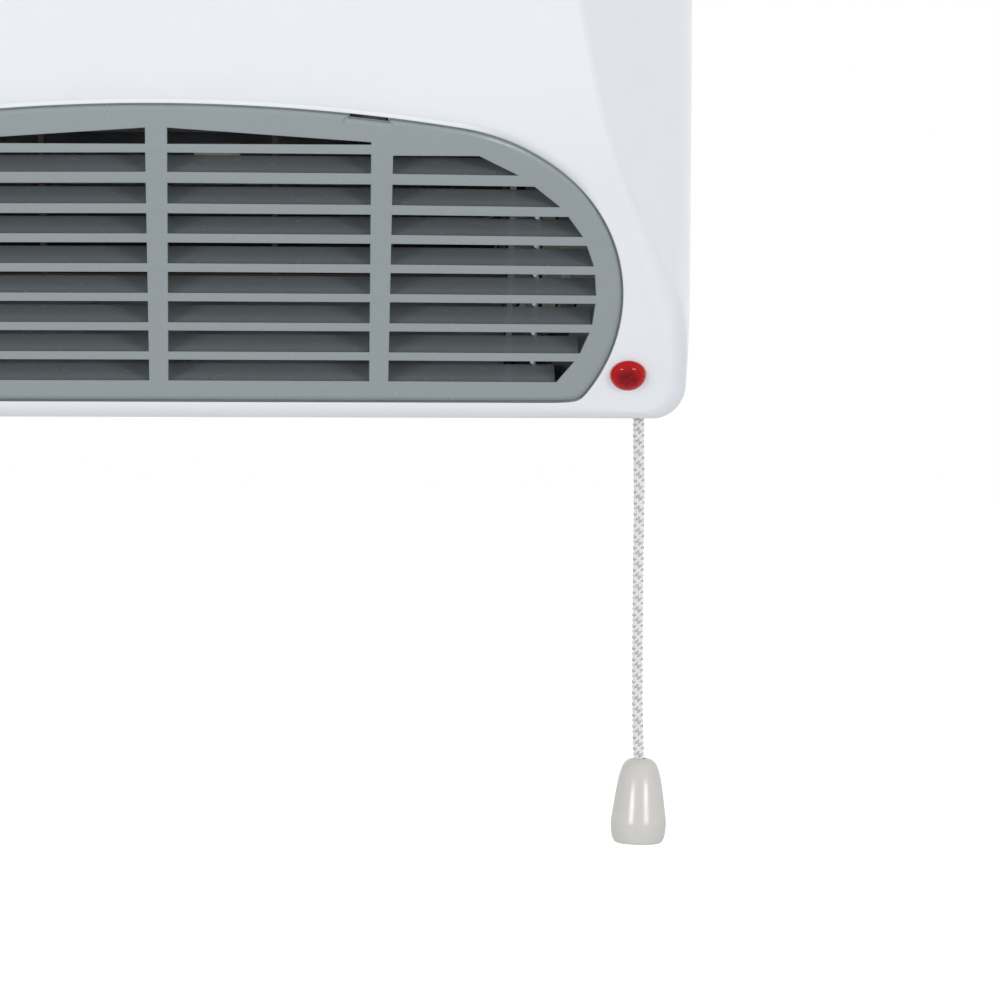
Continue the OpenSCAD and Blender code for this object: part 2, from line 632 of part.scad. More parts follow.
tongue_y = -fan_depth - wheel_d/2 + 1;
tongue_z = fan_z - 19;
tongue_end = [-front(z_open + open_b) + rib_depth + 5, z_open + open_b];
tongue = [[tongue_y, tongue_z], [tongue_y - 3.5, tongue_z - 1], [tongue_y - 6, tongue_z - 5], tongue_end];
tongue_back = [[0, -sheet_t], [sheet_t*0.4, -sheet_t], [sheet_t*0.9, -sheet_t*0.5], [sheet_t, 0]];
module blower_tongue() color(steel) across(-scroll_x, scroll_x) polygon(concat(
  tongue, [for (i = [len(tongue) - 1:-1:0]) tongue[i] + tongue_back[i]]));

end_front = grille_set + grille_t + blade_depth + gap + blade_rise*tan(lower_tilt) + 1;
end_top = fan_z + 36;
end_low = duct_low[1] - 2;
end_line = [for (h = [74.5, 60.5, 40.5, 20.5]) z_bot + h];
module end_profile() polygon(concat(
  [[-seat_y, end_low], [-seat_y, end_top], [-fan_depth - 22, end_top],
   [-fan_depth - wheel_d/2 - 9, fan_z + 8], [-fan_depth - wheel_d/2 - 13, fan_z - 40]],
  [for (z = concat(end_line, [end_low])) [-front(z) + end_front, z]]));
flange_w = 11;
module end_plate(s) {
  inner = plate_x;
  outer = plate_x + sheet_t;
  across(s > 0 ? inner : -outer, s > 0 ? outer : -inner) end_profile();
  translate([s > 0 ? outer - eps : -outer - flange_w, -seat_y - sheet_t, end_low])
    cube([flange_w + eps, sheet_t, end_top - end_low]);
}
element_y = 62;
element_z = z_bot + 64.5;
module at_element() translate([0, -element_y, element_z]) rotate([lower_tilt, 0, 0]) children();
module end_holes(s) {
  for (z = chassis_z) translate([s*chassis_x, 0, z]) rod_y(-seat_y - 4, 0, screw_d + 0.4);
}
bush_d = 9;
rubber_d = 18;
module end_plate_left() color(steel) difference() {
  end_plate(-1);
  end_holes(-1);
  translate([0, -fan_depth, fan_z]) rod_x(-plate_x - 5, -plate_x + 5, 16);
  at_motor_screws() rod_x(-plate_x - 5, -plate_x + 5, screw_d + 2*run_gap);
}
module end_plate_right() color(steel) difference() {
  end_plate(1);
  end_holes(1);
  translate([0, -fan_depth, fan_z]) rod_x(plate_x - 5, plate_x + 5, rubber_d + 0.2);
  at_element() translate([plate_x - 5, -element_t/2, -tab_z - 4]) cube([10, element_t, 2*tab_z + 8]);
}
module chassis_screws() color(steel) for (s = [-1, 1], z = chassis_z)
  translate([s*chassis_x, -seat_y - sheet_t, z]) rotate([-90, 0, 0]) screw(screw_d, 7, 6);

// Cross-flow wheel: two end discs, a middle ring and curved vanes.
disc_t = 1.6;
vane_out = wheel_d/2 - 0.8;
vane_in = vane_out - 6.5;
vane_r = 8;
vane_t = 0.9;
module vane() intersection() {
  translate([(vane_out + vane_in)/2 + 1.2, -6.6]) difference() {
    circle(r = vane_r);
    circle(r = vane_r - vane_t);
  }
  difference() {
    circle(r = vane_out);
    circle(r = vane_in);
  }
  translate([vane_in - 3, -2]) square([14, 8]);
}
module at_fan() translate([0, -fan_depth, fan_z]) children();
module fan_rotor() color(dark_steel) at_fan() difference() {
  union() {
    for (s = [-1, 1]) rod_x(s*wheel_l/2 - (s > 0 ? disc_t : 0), s*wheel_l/2 + (s > 0 ? 0 : disc_t), wheel_d);
    difference() {
      rod_x(-disc_t/2, disc_t/2, wheel_d);
      rod_x(-disc_t, disc_t, vane_in*2 - 4);
    }
    for (i = [0:vane_count - 1]) rotate([360*i/vane_count, 0, 0])
      across(-wheel_l/2 + 0.5, wheel_l/2 - 0.5) vane();
    for (s = [-1, 1]) rod_x(s > 0 ? wheel_l/2 - 10 : -wheel_l/2, s > 0 ? wheel_l/2 : -wheel_l/2 + 10, 14);
  }
  rod_x(-wheel_l, wheel_l, shaft_d + 2*run_gap);
}
stack_x = plate_x + 9;
motor_end = stack_x + stack_t;
shaft_left = motor_end + 9;
shaft_right = plate_x + 8;
module fan_shaft() color(steel) at_fan() rod_x(-shaft_left, shaft_right, shaft_d);
bush_x = [plate_x - 1.2, plate_x + 7];
module bearing_bush() color(brass) at_fan() difference() {
  rod_x(bush_x[0], bush_x[1], bush_d);
  rod_x(bush_x[0] - 1, bush_x[1] + 1, shaft_d + 2*run_gap);
}
module bearing_rubber() color(black) at_fan() rotate([0, 90, 0]) rotate_extrude() polygon([
  [bush_d/2 + run_gap, plate_x - 2], [rubber_d/2 + 1.5, plate_x - 2],
  [rubber_d/2 + 1.5, plate_x - 0.1], [rubber_d/2, plate_x - 0.1],
  [rubber_d/2, plate_x + sheet_t + 0.1], [rubber_d/2 + 2, plate_x + sheet_t + 0.1],
  [rubber_d/2, plate_x + 6], [bush_d/2 + run_gap, plate_x + 6]]);

// ---- Motor ----
magnet_d = 30;
stack_w = 56;
stack_up = 24;
stack_down = 40;
limb_h = 9;
window_w = 32;
window_h = 12;
screw_at = [22, 17];
module at_motor_screws() at_fan() for (s = [-1, 1]) translate([0, s*screw_at[0], screw_at[1]]) children();
module motor_stator() color(dark_steel) at_fan() difference() {
  across(-motor_end, -stack_x) difference() {
    translate([-stack_w/2, -stack_down]) square([stack_w, stack_up + stack_down]);
    circle(d = magnet_d + 0.8);
    translate([-window_w/2, -stack_down + limb_h]) square([window_w, window_h]);
    for (s = [-1, 1]) rotate(s*52) translate([magnet_d/2 - 2, -0.8]) square([4.5, 1.6]);
  }
  for (s = [-1, 1]) translate([0, s*screw_at[0], screw_at[1]])
    rod_x(-motor_end - 1, -stack_x + 1, screw_d + 0.6);
}
coil_out = 7;
coil_w = window_w - 4;
module motor_coil() color([0.75, 0.4, 0.15]) at_fan() translate([0, 0, -stack_down + limb_h/2]) difference() {
  translate([-motor_end - coil_out, -coil_w/2, -limb_h/2 - coil_out + 0.5])
    cube([stack_t + 2*coil_out, coil_w, limb_h + 2*coil_out - 1]);
  translate([-motor_end - gap, -coil_w, -limb_h/2 - gap])
    cube([stack_t + 2*gap, 2*coil_w, limb_h + 2*gap]);
}
module motor_rotor() color(steel) at_fan() difference() {
  rod_x(-motor_end - 1, -stack_x + 1, magnet_d);
  rod_x(-motor_end - 2, -stack_x + 2, shaft_d + 2*run_gap);
}
bracket_t = 2;
bush_out = 10;
bush_l = 6;
module bracket_shape() difference() {
  hull() {
    for (s = [-1, 1]) translate([s*screw_at[0], screw_at[1]]) circle(d = 10);
    circle(d = 18);
  }
  for (s = [-1, 1]) translate([s*screw_at[0], screw_at[1]]) circle(d = screw_d + 0.4);
  circle(d = bush_out + 2*run_gap);
}
front_bracket_x = stack_x - 3;
rear_bracket_x = motor_end + 3 + bracket_t;
module bracket(x, foot0, foot1) {
  across(x, x + bracket_t) bracket_shape();
  for (s = [-1, 1]) translate([0, s*screw_at[0], screw_at[1]]) difference() {
    rod_x(foot0, foot1, 8);
    rod_x(foot0 - 1, foot1 + 1, screw_d + 0.4);
  }
}
module motor_bracket_front() color(steel) at_fan()
  bracket(-front_bracket_x, -stack_x, -plate_x - sheet_t);
module motor_bracket_rear() color(steel) at_fan()
  bracket(-rear_bracket_x, -rear_bracket_x + bracket_t - eps, -motor_end);
module motor_bearings() color(brass) at_fan() for (x = [-front_bracket_x - 2, -rear_bracket_x - 2])
  difference() {
    rod_x(x, x + bush_l - 1, bush_out);
    rod_x(x - 1, x + bush_l + 1, shaft_d + 2*run_gap);
  }
module motor_screws() color(steel) at_motor_screws()
  translate([-rear_bracket_x, 0, 0]) rotate([0, 90, 0]) screw(screw_d, rear_bracket_x - plate_x + 1, 6);

// ---- Heating element ----
board_t = 1.5;
tab_z = 6;
tab_l = 5;
frame_x = plate_x - gap;
board_count = 5;
board_pitch = 2*frame_x/(board_count + 1);
wire_rows = 9;
wire_d = 1;
module heater_frame() color(mica) at_element() {
  for (s = [-1, 1]) {
    translate([-frame_x, -element_t/2, s*(element_h/2 - board_t/2) - board_t/2])
      cube([2*frame_x, element_t, board_t]);
    translate([s*(frame_x - board_t/2) - board_t/2, -element_t/2, -element_h/2 + board_t])
      cube([board_t, element_t, element_h - 2*board_t]);
  }
  for (i = [1:board_count]) difference() {
    translate([-frame_x + i*board_pitch - board_t/2, -element_t/2, -element_h/2 + board_t])
      cube([board_t, element_t, element_h - 2*board_t]);
    for (k = [0:wire_rows - 1], y = [-1, 1]) translate([0, y*3.4, wire_z(k)])
      rod_x(-frame_x, frame_x, wire_d + 0.3);
  }
  for (z = [-tab_z, tab_z]) translate([frame_x - eps, -3, z - 2]) cube([tab_l, 6, 4]);
}
wire_bend = (wire_z(1) - wire_z(0))/2;
wire_end = frame_x - board_t - wire_bend - wire_d/2 - gap;
function wire_z(k) = mix(-element_h/2 + 6, element_h/2 - 6, k/(wire_rows - 1));
module heater_element() color([0.45, 0.42, 0.4]) at_element()
  for (y = [-1, 1]) translate([0, y*3.4, 0]) {
    for (k = [0:wire_rows - 1]) translate([0, 0, wire_z(k)])
      rod_x(-wire_end, wire_end, wire_d);
    for (k = [0:wire_rows - 2]) let(s = k%2 == 0 ? 1 : -1, w = wire_bend + 2)
      translate([s*wire_end, 0, (wire_z(k) + wire_z(k + 1))/2]) intersection() {
        rotate([90, 0, 0]) rotate_extrude() translate([wire_bend, 0]) circle(d = wire_d);
        translate([s > 0 ? 0 : -w, -2, -w]) cube([w, 4, 2*w]);
      }
  }
cutout_x = 2*board_pitch;
module thermal_cutout() color(black) at_element() translate([cutout_x, element_t/2 + gap/2, 0])
  rotate([-90, 0, 0]) {
    cylinder(d = 16, h = 5);
    translate([0, 0, 5 - eps]) cylinder(d = 11, h = 3);
    for (s = [-1, 1]) translate([s*3.5 - 0.4, -3, 7]) cube([0.8, 6, 6]);
  }
fuse_lift = 3;
module thermal_fuse() color(white) at_element() translate([board_pitch/2, element_t/2 + gap/2, 0]) {
  translate([0, fuse_lift, 0]) rod_x(-6, 6, 4);
  translate([0, fuse_lift, 0]) rod_x(-board_pitch/2 - 0.5, board_pitch/2 + 0.5, 1);
  for (s = [-1, 1]) translate([s*board_pitch/2, 0, 0]) rotate([-90, 0, 0]) cylinder(d = 1, h = fuse_lift);
}

// ---- Mains connection ----
block_x = grommet_x;
block_z = z_bot + 124.5;
block_size = [27, 14, 20];
pole_pitch = 9;
module terminal_block() color([0.92, 0.9, 0.84]) translate([block_x, -plate_t, block_z]) difference() {
  union() {
    translate([-block_size[0]/2, -5, -block_size[2]/2]) cube([block_size[0], 5, block_size[2]]);
    for (i = [-1:1]) translate([i*pole_pitch - 3.6, -block_size[1], -block_size[2]/2])
      cube([7.2, block_size[1], block_size[2]]);
  }
  for (i = [-1:1]) translate([i*pole_pitch, -7.5, 0]) {
    translate([0, 0, -15]) cylinder(d = 3.6, h = 30);
    for (z = [-5, 5]) translate([0, 0, z]) rod_y(-12, 0, 4);
  }
}
module terminal_screws() color(brass) translate([block_x, -plate_t - 10, block_z])
  for (i = [-1:1], z = [-5, 5]) translate([i*pole_pitch, 0, z]) difference() {
    rod_y(-3, 1, 3.8);
    translate([-2.5, -4, -0.3]) cube([5, 2, 0.6]);
  }
module cable_grommet() color(black) translate([grommet_x, 0, grommet_z]) rotate([90, 0, 0]) rotate_extrude()
  polygon([[cable_d/2, 0], [grommet_hole/2 - 0.1, 0], [grommet_hole/2 - 0.1, plate_t + 0.1],
    [grommet_hole/2 + 2, plate_t + 0.1], [grommet_hole/2 + 1, plate_t + 3], [cable_d/2, plate_t + 3]]);
clamp_x = 11;
clamp_z = grommet_z - 11.5;
module cable_clamp() color([0.9, 0.9, 0.88]) translate([grommet_x, -plate_t, clamp_z]) difference() {
  union() {
    translate([-clamp_x - 4, -4, -2.6]) cube([2*clamp_x + 8, 4, 5.2]);
    translate([-6.5, -11, -2.6]) cube([13, 11, 5.2]);
  }
  translate([-4.2, -8, -4]) cube([8.4, 9, 8]);
  for (s = [-1, 1]) translate([s*clamp_x, 0, 0]) rod_y(-5, 1, screw_d + 0.4);
}
module clamp_screws() color(steel) for (s = [-1, 1])
  translate([grommet_x + s*clamp_x, -plate_t - 4, clamp_z]) rotate([-90, 0, 0]) screw(screw_d, 6.4, 5.4);

// ---- Pull switch ----
switch_w = [cord_x - 26.4, cord_x + 6.6];
switch_d = 18;
switch_wall = 2;
cord_cut = [5, 16];
pivot_x = cord_x - lever_l;
pivot_z = z_bot + pivot_h;
pin_d = 3;
cam_x = cord_x - 12.5;
cam_z = switch_z[0] - 8.5;
cam_d = 12;
module switch_slab(y0, y1) translate([switch_w[0], y0, switch_z[1]])
  cube([switch_w[1] - switch_w[0], y1 - y0, switch_z[0] - switch_z[1]]);
module switch_frame() color([0.9, 0.88, 0.8]) difference() {
  union() {
    switch_slab(-switch_back - switch_wall, -switch_back);
    difference() {
      switch_slab(-switch_back - switch_d, -switch_back - switch_d + switch_wall);
      translate([cord_x - cord_cut[0], -switch_back - switch_d - 1, switch_z[1] - 1])
        cube([switch_w[1] - cord_x + cord_cut[0] + 1, switch_wall + 2, cord_cut[1]]);
    }
    translate([switch_w[0], -switch_back - switch_d, switch_z[1]])
      cube([switch_wall, switch_d, switch_z[0] - switch_z[1]]);
    translate([switch_w[0], -switch_back - switch_d, switch_z[0] - switch_wall])
      cube([switch_w[1] - switch_w[0], switch_d, switch_wall]);
  }
  for (z = post_z) translate([post_x, 0, z]) rod_y(-switch_back - 3, -switch_back + 1, screw_d + 0.4);
  for (z = post_z) translate([post_x, 0, z])
    rod_y(-switch_back - switch_d - 1, -switch_back - switch_d + 3, 7);
  translate([pivot_x, 0, pivot_z]) rod_y(-80, 0, pin_d + 2*run_gap);
  translate([cam_x, 0, cam_z]) rod_y(-80, 0, pin_d + 2*run_gap);
}
module switch_screws() color(steel) for (z = post_z)
  translate([post_x, -switch_back - switch_wall, z]) rotate([-90, 0, 0]) screw(screw_d, 9, 5.6);
lever_w = 8;
lever_t = 3;
lever_up = asin(pull_travel/2/lever_l);
module switch_lever() color([0.25, 0.25, 0.28]) translate([pivot_x, -cord_depth, pivot_z])
  rotate([0, -lever_up, 0]) difference() {
    union() {
      rod_y(-lever_w/2, lever_w/2, 7);
      translate([0, -lever_w/2, -lever_t/2]) cube([lever_l + 3.6, lever_w, lever_t]);
      translate([4.2, -lever_w/2, lever_t/2 - eps]) cube([2.4, lever_w, 1.6]);
    }
    rod_y(-lever_w, lever_w, pin_d + 2*run_gap);
    translate([lever_l, 0, -lever_t]) cylinder(d = cord_d + 1.6, h = 2*lever_t);
  }
spring_turns = 2;
spring_wire = 0.5;
spring_r = 2.6;
spring_y = [-switch_back - switch_d + switch_wall + 0.8, -cord_depth - lever_w/2 - 0.8];
spring_steps = 10;
function spring_pt(i) = let(n = spring_turns*spring_steps, a = 360*i/spring_steps)
  [pivot_x + spring_r*cos(a), mix(spring_y[0], spring_y[1], i/n), pivot_z + spring_r*sin(a)];
module switch_spring() color(steel) tube(concat([[pivot_x + spring_r, spring_y[0], pivot_z - 7]],
  [for (i = [0:spring_turns*spring_steps]) spring_pt(i)],
  [[pivot_x + spring_r, spring_y[1], pivot_z + 5]]), spring_wire, 6, [0, 1, 0.01]);
module switch_cam() color([0.6, 0.15, 0.1]) translate([cam_x, -cord_depth, cam_z]) difference() {
  across_y(-4, 4) union() {
    circle(d = cam_d - 3.4);
    for (a = [0:90:270]) rotate(a) translate([0, -cam_d/2 + 0.6]) square([3, cam_d/2 - 0.6]);
  }
  rod_y(-5, 5, pin_d + 2*run_gap);
}
module across_y(y0, y1) through(y0, y1) children();
pin_y = [-switch_back - switch_d - 0.8, -switch_back + 0.8];
module switch_pins() color(steel) for (p = [[pivot_x, pivot_z], [cam_x, cam_z]])
  translate([p[0], 0, p[1]]) rod_y(pin_y[0], pin_y[1], pin_d);

// ---- Cord and knob ----
knot_z = pivot_z + pull_travel/2 + 2.4;
knob_top = z_bot - cord_hang;
knob_tilt = 1.2;
cord_sides = 8;
cord_route = [[0, 0, knot_z + 1], [0, 0, -62], [0, 0, -72], [0, 0, -82], [0, 0, -92],
  [0, 0, -100.5], [0, 0, -108], [0.1, 0, -120], [0.1, 0, -132], [0, 0, -144], [-0.1, 0, -156],
  [-0.2, 0, -168], [-0.2, 0, -180], [-0.2, 0, -190], [-0.2, 0, knob_top - 6]];
module pull_cord() color([0.92, 0.92, 0.92]) at_cord(0)
  tube(smooth(cord_route, 2), cord_d, cord_sides, [0, 1, 0]);
module cord_top_knot() color([0.92, 0.92, 0.92]) at_cord(knot_z) difference() {
  translate([0, 0, 2.8]) sphere(d = 5.6);
  translate([0, 0, -1]) cylinder(d = cord_d, h = 2);
}
// Knob outline from its top down: [radius share, height share].
knob_line = [[0.4, 0.012], [0.53, 0.042], [0.63, 0.09], [0.7, 0.15], [0.77, 0.24], [0.835, 0.36],
  [0.89, 0.48], [0.945, 0.61], [0.985, 0.71], [1, 0.755], [0.998, 0.8], [0.985, 0.86],
  [0.955, 0.925], [0.91, 0.965], [0.8, 1]];
module at_knob() translate([-0.2, 0, 0]) at_cord(knob_top) rotate([0, knob_tilt, 0]) children();
knob_bore = cord_d + 0.5;
knob_core = 7;
module pull_knob() color([0.84, 0.83, 0.81]) at_knob() rotate_extrude() difference() {
  polygon(concat([[0, -knob_h], [0, 0]], [for (p = knob_line) [p[0]*knob_d/2, -p[1]*knob_h]]));
  translate([-1, -7]) square([1 + knob_bore/2, 8]);
  translate([-1, -knob_h - 1]) square([1 + knob_core/2, knob_h - 6 + 1]);
}
module cord_end_knot() color([0.92, 0.92, 0.92]) at_knob() difference() {
  translate([0, 0, -9.3]) sphere(d = 5.6);
  translate([0, 0, -8]) cylinder(d = cord_d + 0.3, h = 4);
}

// ---- Inner wiring ----
lead_d = 2;
clear_y = -plate_t - 2.6;
coil_at = [-motor_end - coil_out/2, -fan_depth + coil_w/2 + 0.3, fan_z - stack_down + limb_h/2 + 1.5];
function pole(i) = [block_x + i*pole_pitch, -plate_t - 7.5, block_z - block_size[2]/2 - 0.4];
function tab_at(i, x) =
  [frame_x + x, -element_y - i*tab_z*sin(lower_tilt), element_z + i*tab_z*cos(lower_tilt)];
function on_switch(x, y) = [cord_x + x, -switch_back - y, switch_z[0] + 0.3];
leads = [
  [pole(-1), [pole(-1)[0], -12, switch_z[0] + 42], [cord_x - 17.4, -24, switch_z[0] + 17],
   on_switch(-17.4, 7)],
  [on_switch(-9.4, 11), [cord_x - 9.4, -36, switch_z[0] + 12], [cord_x - 19.4, -58, switch_z[0] + 14],
   tab_at(1, 10), tab_at(1, 5.3)],
  [pole(1), [pole(1)[0], -20, switch_z[0] + 42], [cord_x - 9.4, -50, switch_z[0] + 8],
   tab_at(-1, 10), tab_at(-1, 5.3)],
  [pole(0), [pole(0)[0], -8, block_z - 18], [block_x - 6, clear_y, block_z - 22],
   [60, clear_y, block_z - 22], [0, clear_y, block_z - 22], [-60, clear_y, block_z - 22],
   [-chassis_x - 6, clear_y, block_z - 22], [coil_at[0] + 6.5, -8, coil_at[2] + 5],
   [coil_at[0], -20, coil_at[2] + 2], coil_at]];
module wiring() color([0.3, 0.2, 0.15])
  for (l = leads) tube(smooth(l, 4), lead_d, 6, [0.1, 1, 0.3]);

front_housing();
back_plate();
outlet_grille();
housing_screws();
indicator_lens();
indicator_lamp();
indicator_clip();
cord_eyelet();
blower_scroll();
blower_tongue();
end_plate_left();
end_plate_right();
chassis_screws();
fan_rotor();
fan_shaft();
bearing_bush();
bearing_rubber();
motor_stator();
motor_coil();
motor_rotor();
motor_bracket_front();
motor_bracket_rear();
motor_bearings();
motor_screws();
heater_frame();
heater_element();
thermal_cutout();
thermal_fuse();
terminal_block();
terminal_screws();
cable_grommet();
cable_clamp();
clamp_screws();
wiring();
switch_frame();
switch_screws();
switch_lever();
switch_spring();
switch_cam();
switch_pins();
pull_cord();
cord_top_knot();
cord_end_knot();
pull_knob();
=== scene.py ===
"""A bathroom wall fan heater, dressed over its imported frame.

A white moulded casing with a grey louvred grille, a red indicator and a braided pull cord
with its knob. Sizes are in millimetres, in the frame of the part, and turn into metres where
a mesh is made."""
import json
import math

import bmesh
import bpy
from mathutils import Matrix, Vector

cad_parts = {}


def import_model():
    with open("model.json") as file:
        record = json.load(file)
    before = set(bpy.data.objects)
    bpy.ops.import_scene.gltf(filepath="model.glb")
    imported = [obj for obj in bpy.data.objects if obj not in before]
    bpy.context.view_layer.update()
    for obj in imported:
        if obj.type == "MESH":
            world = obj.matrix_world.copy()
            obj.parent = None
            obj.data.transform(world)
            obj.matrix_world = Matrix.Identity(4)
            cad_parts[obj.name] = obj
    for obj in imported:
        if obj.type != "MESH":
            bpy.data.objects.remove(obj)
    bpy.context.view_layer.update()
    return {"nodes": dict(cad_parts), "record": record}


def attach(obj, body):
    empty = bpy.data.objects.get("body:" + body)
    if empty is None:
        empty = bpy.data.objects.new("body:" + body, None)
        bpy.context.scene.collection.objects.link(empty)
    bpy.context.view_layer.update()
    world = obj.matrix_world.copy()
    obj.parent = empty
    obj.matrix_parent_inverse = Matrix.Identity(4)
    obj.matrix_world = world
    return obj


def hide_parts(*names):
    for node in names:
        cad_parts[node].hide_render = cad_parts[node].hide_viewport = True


MM = 0.001
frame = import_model()

# ---- Casing ----
HALF_W = 139.5
Z_BOT = -100.5
Z_TOP = 100.5
WALL = 2.5
BOTTOM_DEPTH = 53.0
LOWER_TILT = math.radians(35.5)
UPPER_TILT = math.radians(20)
KNEE_Z = Z_BOT + 76.7
KNEE_R = 110.0
CROWN_START = Z_BOT + 110.5
CROWN_R = 110.0
SIDE_DEPTH = 63.6
FLANK_SLOPE = math.radians(60.2)
LOW_CORNER = 9.0
TOP_CORNER = 20.0
WAIST = 0.9
WAIST_TOP = Z_BOT + 40
CREASE_R = 3.5
CREASE_LOW_R = 10.0
CREASE_LOW_Z = Z_BOT + 70
CREASE_FADE = 60.0
CREASE_CROWN_R = 14.0
CREASE_CROWN_Z = (14, 60)
SLOT_COUNT = 25
SLOT_PITCH = 8.0
SLOT_W = 3.6
SLOT_BACK = 26.0
SLOT_FRONT = 82.0
SCREW_PLACES = ((-60, Z_BOT), (60, Z_BOT), (-100, Z_TOP), (100, Z_TOP))
SCREW_DEPTH = 12.0
SCREW_HOLE = 3.4
PIN_SIDES = 48

# ---- Grille ----
OPEN_Z = Z_BOT + 32.65
OPEN_CUT = 28.1
OPEN_BLEND = 60
OPEN_SIDE = 18.9
FAR = 1e4
SIDE_R = 42.2
SHOULDER_R = 58.0
SHOULDER_A = math.radians(49.2)
TOP_A = math.radians(81.1)
SIDE_C = Vector((HALF_W - OPEN_SIDE - SIDE_R, 0))
SHOULDER_C = SIDE_C + (SIDE_R - SHOULDER_R) * Vector((math.cos(SHOULDER_A), math.sin(SHOULDER_A)))
TOP_R = SHOULDER_R + SHOULDER_C.x / math.cos(TOP_A)
TOP_C = Vector((0, SHOULDER_C.y + (SHOULDER_R - TOP_R) * math.sin(TOP_A)))
GRILLE_GAP = 0.4
RIM_LEDGE = GRILLE_GAP - 0.08
GRILLE_SET = 0.7
FACE_T = 2.2
RIB_DEPTH = 11.0
BAR_H = 2.25
BAR_GAIN = 0.65
BAR_PITCH = 7.93
ROW_GAIN = 0.35
BAR_COUNT = 7
DROOP_LOW = 0.15
DROOP_HIGH = 0.7
SLOT_Z = Z_BOT + 10.4
BLADE_RISE = 4.0
BLADE_DEPTH = 8.3
BLADE_T = 1.2
UPRIGHT_W = 5.0
UPRIGHT_GAIN = 0.6
UPRIGHT_X = 57.5
STIFF_X = 98.5
STIFF_DEPTH = 12.8
STIFF_W = 0.9
STIFF_T = 1.4
PANE_SLANT = ((2.5, Z_BOT + 77.7), (55.0, Z_BOT + 74.1))
PANE_A = HALF_W - 26
PANE_B = 50.15
PANE_N = 2.24
PANE_Z = Z_BOT + 33.4

# ---- Indicator, cord and knob ----
LAMP_X = 122.7
LAMP_Z = Z_BOT + 12.5
LAMP_D = 9.4
LENS_HOLE = LAMP_D - 1.2
STEM_LEN = 9
LENS_RISE = 3.2
# Centre of the lens's painted shade, in metres
LENS_SHADE_CENTRE = (0.1227, -0.063, -0.088)
CORD_X = 127.4
CORD_DEPTH = 29.0
CORD_D = 2.9
EYELET_HOLE = 5.4
KNOB_TOP = Z_BOT - 92.6
KNOB_D = 14.8
KNOB_H = 22.7
KNOB_TILT = math.radians(1.2)
KNOB_X = CORD_X + 1.0


def clamp01(value):
    return max(0.0, min(1.0, value))


def mix(a, b, t):
    return a + (b - a) * t


def ease(low, high, value):
    """0 below low, 1 above high, and smooth between them."""
    t = clamp01((value - low) / (high - low))
    return t * t * (3 - 2 * t)


def bisect(low, high, below, steps=40):
    """Closes in on the value where below turns from true to false."""
    for _ in range(steps):
        middle = (low + high) / 2
        if below(middle):
            low = middle
        else:
            high = middle
    return low


# ---- Surface of the casing ----
KNEE_DEPTH = BOTTOM_DEPTH + (KNEE_Z - Z_BOT) * math.tan(LOWER_TILT)
KNEE_LEN = KNEE_R * math.tan((LOWER_TILT - UPPER_TILT) / 2)
BEND_START = KNEE_Z - KNEE_LEN * math.cos(LOWER_TILT)
BEND_END = KNEE_Z + KNEE_LEN * math.cos(UPPER_TILT)
BEND_Z = BEND_START + KNEE_R * math.sin(LOWER_TILT)
BEND_DEPTH = (BOTTOM_DEPTH + (BEND_START - Z_BOT) * math.tan(LOWER_TILT)
              - KNEE_R * math.cos(LOWER_TILT))
CROWN_DEPTH = KNEE_DEPTH + (CROWN_START - KNEE_Z) * math.tan(UPPER_TILT)
CROWN_Z = CROWN_START + CROWN_R * math.sin(UPPER_TILT)
CROWN_BACK = CROWN_DEPTH - CROWN_R * math.cos(UPPER_TILT)


def tilt(z):
    """Lean of the front from the vertical at a height."""
    if z < BEND_START:
        return LOWER_TILT
    if z < BEND_END:
        return math.asin((BEND_Z - z) / KNEE_R)
    if z < CROWN_START:
        return UPPER_TILT
    return math.asin((CROWN_Z - z) / CROWN_R)


def front(z):
    """Depth of the front at a height."""
    if z < BEND_START:
        return BOTTOM_DEPTH + (z - Z_BOT) * math.tan(LOWER_TILT)
    if z < BEND_END:
        return BEND_DEPTH + KNEE_R * math.cos(tilt(z))
    if z < CROWN_START:
        return KNEE_DEPTH + (z - KNEE_Z) * math.tan(UPPER_TILT)
    return CROWN_BACK + CROWN_R * math.cos(tilt(z))


def flank(x):
    """Depth of the flank beside the front."""
    return SIDE_DEPTH + (HALF_W - abs(x)) * math.tan(FLANK_SLOPE)


def crease(z):
    """Radius of the crease, which grows toward the foot and fades out in the crown."""
    low = CREASE_LOW_R * clamp01((CREASE_LOW_Z - z) / CREASE_FADE) ** 2
    return CREASE_R + low + CREASE_CROWN_R * ease(*CREASE_CROWN_Z, z)


def skin(x, z, inset=0.0):
    """Depth of the casing's front, set back by a wall thickness."""
    a = front(z) - inset / math.cos(tilt(z))
    b = flank(x) - inset / math.cos(FLANK_SLOPE)
    k = crease(z)
    h = max(k - abs(a - b), 0) / k
    return min(a, b) - h * h * k / 4


def side_x(z):
    """Half width of the casing at a height, drawn in a little at the foot."""
    return HALF_W - WAIST * clamp01((WAIST_TOP - z) / (WAIST_TOP - Z_BOT)) ** 2


def arc(cx, cz, r, start, end, steps):
    """Rows of x, z and outward normal on an arc, without its last point."""
    rows = []
    for i in range(steps):
        a = math.radians(mix(start, end, i / steps))
        rows.append((cx + r * math.cos(a), cz + r * math.sin(a), math.cos(a), math.sin(a)))
    return rows


